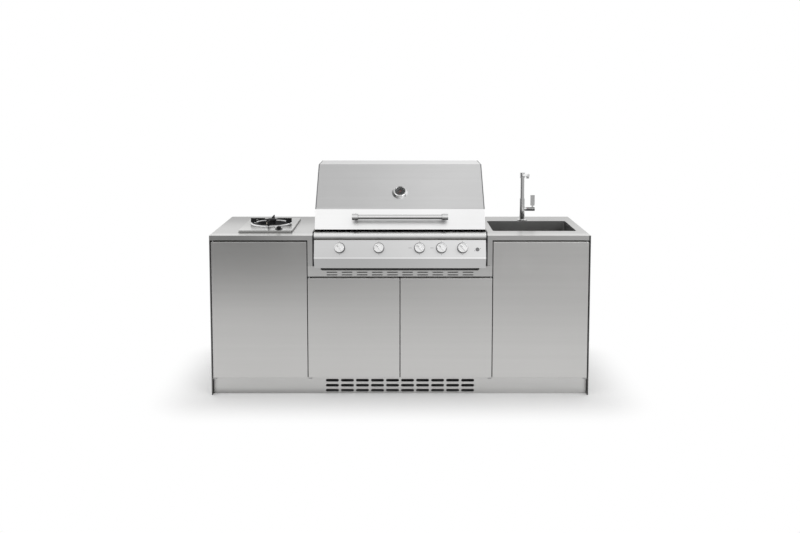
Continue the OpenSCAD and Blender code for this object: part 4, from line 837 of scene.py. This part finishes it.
class KITCHEN_OT_panel_marks(bpy.types.Operator):
    """Print plain marks round the knobs and beside the ignition button"""
    bl_idname = "kitchen.panel_marks"
    bl_label = "Panel marks"

    def execute(self, context):
        settings = context.scene.kitchen_marks
        reach, thick = settings.mark_radius, settings.print_height
        half, width = settings.dash_length / 2, settings.dash_width / 2
        dash = oblong(-settings.dash_place - half, -settings.dash_place + half, -width, width)
        bm = bmesh.new()
        for i in range(1, 6):
            face = hinge_frame(f"burner_knob_{i}_turn", FRONT)
            surface = min(heights("knob_bezels", face))
            for angle in (90, -90):
                spot = flat_frame(*polar(reach, math.radians(angle)), surface)
                lathe(bm, face @ spot, disc(settings.mark_size, thick), 12)
            if i in (3, 4):
                prism(bm, face, dash, surface, surface + thick)
        button = face.inverted() @ (sum(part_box("ignition_button"), Vector()) / 2)
        for side in (-1, 1):
            spot = flat_frame(button.x + side * 16 * MM, button.y + side * 6 * MM, surface)
            lathe(bm, face @ spot, disc(1.7 * MM, thick), 12)
        finish_piece("panel_marks", bm, "cabinet", ["print_and_shade_black"])
        return {"FINISHED"}


class KITCHEN_OT_fixings(bpy.types.Operator):
    """Set the rivets of the fascia and the screws of the upper door brackets"""
    bl_idname = "kitchen.fixings"
    bl_label = "Screws and rivets"

    def execute(self, context):
        settings = context.scene.kitchen_fixings
        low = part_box("worktop_right")[0]
        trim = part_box("bbq_side_trims")[1]
        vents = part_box("vent_strip")[1]
        radius = settings.rivet_radius
        rivet = [(0, 0), (radius, 0), (radius * 0.9, radius * 0.25), (radius * 0.5, radius * 0.42),
                 (0, radius * 0.45)]
        bm = bmesh.new()
        for x in (trim.x + 5.6 * MM, trim.x + 14.6 * MM):
            lathe(bm, facing((x, low.y, vents.z + 3.6 * MM), FRONT), rivet, 16)
        finish_piece("fascia_rivets", bm, "cabinet", ["print_and_shade_black"])
        bm = bmesh.new()
        for points in solids("hinge_brackets"):
            first, last = span(points)
            # The shallow brackets and the lower ones have no screws in sight
            if last.y - first.y < 30 * MM or first.z < 0.5:
                continue
            for x in (first.x + 7 * MM, last.x - 7 * MM):
                under = facing((x, last.y - 8 * MM, first.z), DOWN)
                pan_head(bm, under, settings.screw_radius, settings.screw_height)
        finish_piece("bracket_screws", bm, "cabinet", ["zinc_steel", "print_and_shade_black"])
        return {"FINISHED"}


class KITCHEN_OT_bumpers(bpy.types.Operator):
    """Stick two soft bumpers behind the free edge of each door"""
    bl_idname = "kitchen.bumpers"
    bl_label = "Door bumpers"

    def execute(self, context):
        settings = context.scene.kitchen_fixings
        radius, height, inset = settings.bumper_radius, settings.bumper_height, settings.bumper_inset
        bumper = [(0, 0), (radius, 0), (radius, height * 0.4), (radius * 0.8, height * 0.85),
                  (radius * 0.4, height), (0, height)]
        for door in ("left", "centre_left", "centre_right", "right"):
            low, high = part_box(f"door_{door}")
            pivot = JOINTS[f"{door}_door_hinge"]["pos_m"][0]
            hinged_left = abs(pivot - low.x) < abs(pivot - high.x)
            x = high.x - inset if hinged_left else low.x + inset
            bm = bmesh.new()
            for z in (low.z + inset, high.z - 2 * inset):
                lathe(bm, facing((x, high.y, z), BACK), bumper, 20)
            finish_piece(f"door_{door}_bumpers", bm, f"{door}_door", ["rubber"])
        return {"FINISHED"}


class KITCHEN_OT_hob_parts(bpy.types.Operator):
    """Add the hob's flame ports as black slots, painted shade for the port holes, its electrode and flame sensor,
    and the dark gasket under its plate, which also paints the shade line at the plate's rim
    """
    bl_idname = "kitchen.hob_parts"
    bl_label = "Hob parts"

    def execute(self, context):
        settings = context.scene.kitchen_gas
        low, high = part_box("burner_cap")
        centre = (low + high) / 2
        top = low.z
        radius = widest([p for p in points_of("hob_burner") if p.z > top - 0.5 * MM], centre)
        port = oblong(radius - 1.0 * MM, radius + 0.2 * MM, -0.8 * MM, 0.8 * MM)
        bm = bmesh.new()
        # Painted shade: the flame ports are black slots on the burner head, standing in for the shade inside the
        # holes
        for i in range(settings.head_ports):
            turn = spin(2 * math.pi * (i + 0.5) / settings.head_ports)
            prism(bm, flat_frame(centre.x, centre.y, 0) @ turn, port, top - 2.8 * MM, top - 0.4 * MM)
        finish_piece("hob_flame_ports", bm, "cabinet", ["print_and_shade_black"])
        floor = min(p.z for p in points_of("drip_ring")) - 38 * MM
        reach = radius + 9 * MM
        bm = bmesh.new()
        # The electrode stands in a ceramic sleeve, and the flame sensor is a bare rod
        for angle, tall, sleeved in ((150, 47 * MM, True), (118, 44 * MM, False)):
            x, y = polar(reach, math.radians(angle))
            foot = flat_frame(centre.x + x, centre.y + y, floor)
            if sleeved:
                lathe(bm, foot, [(0, 0), (3.5 * MM, 0), (3.5 * MM, tall * 0.8), (2.8 * MM, tall * 0.86),
                                 (0, tall * 0.86)], 16)
            lathe(bm, foot, [(0, 0), (1.3 * MM, 0), (1.3 * MM, tall - 1 * MM), (0, tall)], 12, 1)
        finish_piece("hob_electrode", bm, "cabinet", ["ceramic", "zinc_steel"])
        # The gasket is rubber, and its dark bead also stands in for the shade line at the plate's rim
        low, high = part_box("hob_plate")
        mid = (low + high) / 2
        width, depth = high.x - low.x, high.y - low.y
        outer = rounded(width + 2 * settings.bead, depth + 2 * settings.bead, 9.5 * MM)
        inner = rounded(width - 2 * MM, depth - 2 * MM, 7 * MM)
        bm = bmesh.new()
        foot = flat_frame(mid.x, mid.y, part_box("worktop_left")[1].z)
        hollow_prism(bm, foot, outer, inner, 0.05 * MM, 1.1 * MM)
        finish_piece("hob_gasket", bm, "cabinet", ["rubber"], 0.0003)
        return {"FINISHED"}


class KITCHEN_OT_burner_parts(bpy.types.Operator):
    """Set rows of black discs on the burner tubes, painted shade for their flame ports, and fit the nuts under the
    valves
    """
    bl_idname = "kitchen.burner_parts"
    bl_label = "Burner parts"

    def execute(self, context):
        settings = context.scene.kitchen_gas
        lean = math.radians(35)
        bm = bmesh.new()
        for points in solids("burners"):
            low, high = span(points)
            mid = (low + high) / 2
            radius = (high.x - low.x) / 2
            start, end = low.y + 75 * MM, high.y - 15 * MM
            for i in range(int((end - start) / settings.port_pitch)):
                for side in (-1, 1):
                    out = Vector((side * math.cos(lean), 0, math.sin(lean)))
                    y = start + i * settings.port_pitch
                    place = Vector((mid.x, y, mid.z)) + out * (radius - 0.2 * MM)
                    # Painted shade: each port is a black disc standing in for the shade inside the hole
                    lathe(bm, facing(place, out), disc(settings.port_radius, 0.3 * MM), 8)
        finish_piece("burner_ports", bm, "cabinet", ["print_and_shade_black"])
        hexagon = [polar(settings.nut_radius, math.radians(60 * i)) for i in range(6)]
        bm = bmesh.new()
        for points in solids("gas_valves"):
            low, high = span(points)
            foot = [p for p in points if p.z < low.z + 0.5 * MM]
            y = sum(p.y for p in foot) / len(foot)
            nut = flat_frame((low.x + high.x) / 2, y, low.z)
            prism(bm, nut, hexagon, 0.8 * MM, 0.8 * MM + settings.nut_height)
        finish_piece("valve_nuts", bm, "cabinet", ["brass"], 0.0006)
        return {"FINISHED"}


class KITCHEN_OT_tap_parts(bpy.types.Operator):
    """Fit the aerator, the foot gasket and the hot and cold dots of the tap"""
    bl_idname = "kitchen.tap_parts"
    bl_label = "Tap parts"

    def execute(self, context):
        settings = context.scene.kitchen_tap
        spout = points_of("tap_spout")
        tip = min(p.y for p in spout)
        mouth = [p for p in spout if p.y < tip + 22 * MM]
        bottom = min(p.z for p in mouth)
        low, high = span([p for p in mouth if p.z < bottom + 0.2 * MM])
        radius = settings.aerator_radius
        bm = bmesh.new()
        down = facing(((low.x + high.x) / 2, (low.y + high.y) / 2, bottom), DOWN)
        lathe(bm, down, [(0, 0), (radius, 0), (radius, 1.2 * MM), (radius * 0.85, 1.5 * MM),
                         (radius * 0.78, 0.6 * MM), (0, 0.6 * MM)], 32)
        finish_piece("tap_aerator", bm, "spout", ["grey_plastic"])
        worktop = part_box("worktop_right")[1].z
        axis = Vector(JOINTS["spout_swivel"]["pos_m"])
        foot = widest([p for p in points_of("tap_body") if abs(p.z - worktop) < 4 * MM], axis)
        inner, outer = foot - 1 * MM, foot + settings.ring_width
        bm = bmesh.new()
        lathe(bm, flat_frame(axis.x, axis.y, worktop),
              [(inner, 0.1 * MM), (outer, 0.1 * MM), (outer, 0.9 * MM), (inner, 1.4 * MM),
               (inner, 0.1 * MM)], 48)
        finish_piece("tap_gasket", bm, "cabinet", ["rubber"])
        low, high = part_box("tap_sleeve")
        mid = (low + high) / 2
        arm_r = (high.z - low.z) / 2
        radius = settings.dot_radius
        dot = [(0, 0), (radius, 0), (radius, 0.4 * MM), (radius * 0.7, 0.6 * MM), (0, 0.6 * MM)]
        for name, lift, slot in (("hot", 28, "hot_red"), ("cold", -28, "cold_blue")):
            lean = math.radians(lift)
            out = Vector((0, -math.cos(lean), math.sin(lean)))
            place = Vector((low.x - 12 * MM, mid.y, mid.z)) + out * (arm_r - 0.3 * MM)
            bm = bmesh.new()
            lathe(bm, facing(place, out), dot, 16)
            finish_piece(f"tap_{name}_dot", bm, "cabinet", [slot])
        return {"FINISHED"}


class KITCHEN_OT_tray_shadow_strip(bpy.types.Operator):
    """Clip a dark rubber strip under the drip tray's lip, a painted shadow of the gap there"""
    bl_idname = "kitchen.tray_trim"
    bl_label = "Drip tray trim"

    def execute(self, context):
        low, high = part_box("drip_tray")
        half = high.x - 4 * MM
        # Painted shadow: the dark strip fills the shade of the gap under the tray's lip
        bm = bmesh.new()
        strip = oblong(-half, half, low.y + 0.4 * MM, low.y + 3.4 * MM)
        prism(bm, flat_frame(0, 0, low.z), strip, -2.6 * MM, -0.1 * MM)
        finish_piece("tray_trim", bm, "grease_tray", ["rubber"], 0.0004)
        return {"FINISHED"}


class KITCHEN_OT_handle_rings(bpy.types.Operator):
    """Fit the dark rings between the handle's bar and its mounts, and the grub screws below"""
    bl_idname = "kitchen.handle_rings"
    bl_label = "Handle rings"

    def execute(self, context):
        low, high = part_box("handle_bar")
        bar_r = (high.z - low.z) / 2
        mid = (low + high) / 2
        inner, outer = bar_r + 0.1 * MM, bar_r + 2.8 * MM
        washer = [(inner, 0), (outer, 0), (outer, 0.8 * MM), (inner, 1.4 * MM), (inner, 0)]
        grub = [(0, 0), (2.4 * MM, 0), (2.4 * MM, 0.3 * MM), (1.2 * MM, 0.4 * MM), (0, 0.2 * MM)]
        bm = bmesh.new()
        for points in solids("handle_mounts"):
            first, last = span(points)
            on_right = first.x > 0
            end = first.x if on_right else last.x
            lathe(bm, facing((end, mid.y, mid.z), LEFT if on_right else RIGHT), washer, 40)
            lathe(bm, facing(((first.x + last.x) / 2, mid.y, first.z), DOWN), grub, 12)
        finish_piece("handle_rings", bm, "hood", ["print_and_shade_black"])
        return {"FINISHED"}


class KITCHEN_OT_stage(bpy.types.Operator):
    """Set up the floor, the soft lamps, the room and the camera"""
    bl_idname = "kitchen.stage"
    bl_label = "Stage"

    def execute(self, context):
        settings = context.scene.kitchen_stage
        self.floor(settings)
        self.room(context, settings)
        self.lamp("key_lamp", place=(3.6, -4.6, 3.6), size=3.4, power=settings.key_power)
        self.lamp("fill_lamp", place=(-4.2, -4.2, 3.0), size=3.2, power=settings.fill_power)
        self.camera(context, settings)
        context.scene.view_settings.view_transform = "Standard"
        return {"FINISHED"}

    def floor(self, settings):
        """A pale floor: matt close to the kitchen, plain white farther off, with painted shade, nearly black,
        under the cabinet behind the plinth.
        """
        bm = bmesh.new()
        half = settings.floor_size / 2
        bm.faces.new([bm.verts.new((x, y, -0.5 * MM)) for x, y in oblong(-half, half, -half, half)])
        net, shader, place = start_material("floor")
        speck = net.noise(place, 90.0, 2.0)
        pale = net.mix(net.mul(speck, 0.03), rgba(settings.floor_colour), (0.80, 0.80, 0.80, 1.0))
        seen, mirrored = self.rays(net)
        footprint = (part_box("end_panel_right")[1].x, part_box("back_panel")[1].y, 0.0)
        beyond = net.vector("SUBTRACT", net.vector("ABSOLUTE", place), footprint)
        distance = net.vector("LENGTH", net.vector("MAXIMUM", beyond, (0.0, 0.0, 0.0)))
        depth = net.xyz(place)["Y"]
        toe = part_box("plinth")[1].y
        # Painted shade: the floor behind the plinth and inside the kitchen's footprint is mixed nearly black, out
        # to the toe depth
        under = net.mul(net.ramp(depth, toe - 0.005, toe), net.ramp(distance, 0.002, 0.0))
        under = net.mul(under, net.ramp(depth, toe + settings.toe_depth, toe + 0.25))
        matt = net.fill(shader, Base_Color=net.mix(under, pale, (0.008, 0.008, 0.008, 1.0)), Roughness=0.9,
                        Specular_IOR_Level=0.1)["BSDF"]
        behind = net.ramp(depth, -0.5, 2.0)
        dim = net.ramp(distance, 0.4, 4.1, settings.near_floor, settings.far_floor)
        dim = net.add(dim, net.mul(behind, net.sub(1.0, dim)))
        white = net.fill(net.node("ShaderNodeEmission"), Color=(1.0, 1.0, 1.0, 1.0),
                         Strength=net.add(seen, net.mul(mirrored, dim)))["Emission"]
        shown = net.add(net.mul(seen, net.ramp(distance, 0.0, settings.shadow_reach)),
                        net.mul(mirrored, net.ramp(distance, 0.0, settings.mirror_reach)))
        blend = net.feed_all(net.node("ShaderNodeMixShader"), shown, matt, white)[0]
        net.fill(net.tree.nodes["Material Output"], Surface=blend)
        floor = show("floor", close_mesh("floor", bm, ["floor"]))

    def rays(self, net):
        """Masks of the camera's own rays and of the rays by which metal and glass show the room."""
        path = net.node("ShaderNodeLightPath").outputs
        return path["Is Camera Ray"], net.math("MAXIMUM", path["Is Glossy Ray"], path["Is Transmission Ray"])

    def room(self, context, settings):
        """An even white room to the camera, with darker walls and ceiling in what metal shows of it."""
        world = bpy.data.worlds.new("room")
        context.scene.world = world
        world.use_nodes = True
        net = Net(world.node_tree)
        seen, mirrored = self.rays(net)
        way = net.xyz(net.node("ShaderNodeTexCoord").outputs["Generated"])
        behind = net.ramp(way["Y"], -0.25, 0.35)
        wall = net.ramp(way["Z"], -0.08, 0.42, settings.low_wall, settings.high_wall)
        wall = net.add(wall, net.mul(behind, net.sub(1.0, wall)))
        ceiling = net.ramp(way["Z"], 0.70, 0.97, 1.0, settings.ceiling_level)
        shown = net.sub(net.mul(wall, ceiling), settings.room_level)
        level = net.add(settings.room_level, net.mul(mirrored, shown))
        rest = net.mul(seen, net.sub(1.0, level))
        net.fill(net.tree.nodes["Background"], Color=(1.0, 1.0, 1.0, 1.0), Strength=net.add(level, rest))

    def lamp(self, name, place, size, power):
        """A soft square lamp that looks at the middle of the kitchen's front."""
        aim = Vector((0.0, 0.0, 0.6))
        data = bpy.data.lights.new(name, "AREA")
        data.shape = "SQUARE"
        data.size = size
        data.energy = power
        lamp = show(name, data)
        lamp.location = place
        lamp.rotation_euler = (aim - Vector(place)).to_track_quat("-Z", "Y").to_euler()

    def camera(self, context, settings):
        data = bpy.data.cameras.new("camera")
        data.lens = settings.lens
        data.sensor_width = 36.0
        data.shift_y = settings.shift
        camera = show("camera", data)
        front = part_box("door_left")[0].y
        camera.location = (0.0, front - settings.camera_distance, settings.camera_height)
        camera.rotation_euler = (math.pi / 2 - settings.camera_tilt, 0.0, 0.0)
        context.scene.camera = camera


class KITCHEN_PT_panel(bpy.types.Panel):
    """Lists the kitchen's operators"""
    bl_idname = "KITCHEN_PT_panel"
    bl_label = "Outdoor Kitchen"
    bl_space_type = "VIEW_3D"
    bl_region_type = "UI"
    bl_category = "Kitchen"

    def draw(self, context):
        for operator in OPERATORS:
            self.layout.operator(operator.bl_idname)


SETTINGS = {
    "kitchen_finish": KitchenFinishSettings,
    "kitchen_dial": KitchenDialSettings,
    "kitchen_marks": KitchenMarkSettings,
    "kitchen_fixings": KitchenFixingSettings,
    "kitchen_gas": KitchenGasSettings,
    "kitchen_tap": KitchenTapSettings,
    "kitchen_stage": KitchenStageSettings,
}
OPERATORS = (
    KITCHEN_OT_finishes,
    KITCHEN_OT_dial,
    KITCHEN_OT_knob_lines,
    KITCHEN_OT_panel_marks,
    KITCHEN_OT_fixings,
    KITCHEN_OT_bumpers,
    KITCHEN_OT_hob_parts,
    KITCHEN_OT_burner_parts,
    KITCHEN_OT_tap_parts,
    KITCHEN_OT_tray_shadow_strip,
    KITCHEN_OT_handle_rings,
    KITCHEN_OT_stage,
)


def register():
    for name, settings in SETTINGS.items():
        bpy.utils.register_class(settings)
        setattr(bpy.types.Scene, name, PointerProperty(type=settings))
    for operator in OPERATORS:
        bpy.utils.register_class(operator)
    bpy.utils.register_class(KITCHEN_PT_panel)


def unregister():
    bpy.utils.unregister_class(KITCHEN_PT_panel)
    for operator in reversed(OPERATORS):
        bpy.utils.unregister_class(operator)
    for name, settings in SETTINGS.items():
        delattr(bpy.types.Scene, name)
        bpy.utils.unregister_class(settings)


def main():
    register()
    bpy.ops.kitchen.finishes()
    bpy.ops.kitchen.dial()
    bpy.ops.kitchen.knob_lines()
    bpy.ops.kitchen.panel_marks()
    bpy.ops.kitchen.fixings()
    bpy.ops.kitchen.bumpers()
    bpy.ops.kitchen.hob_parts()
    bpy.ops.kitchen.burner_parts()
    bpy.ops.kitchen.tap_parts()
    bpy.ops.kitchen.tray_trim()
    bpy.ops.kitchen.handle_rings()
    bpy.ops.kitchen.stage()


if __name__ == "__main__":
    main()
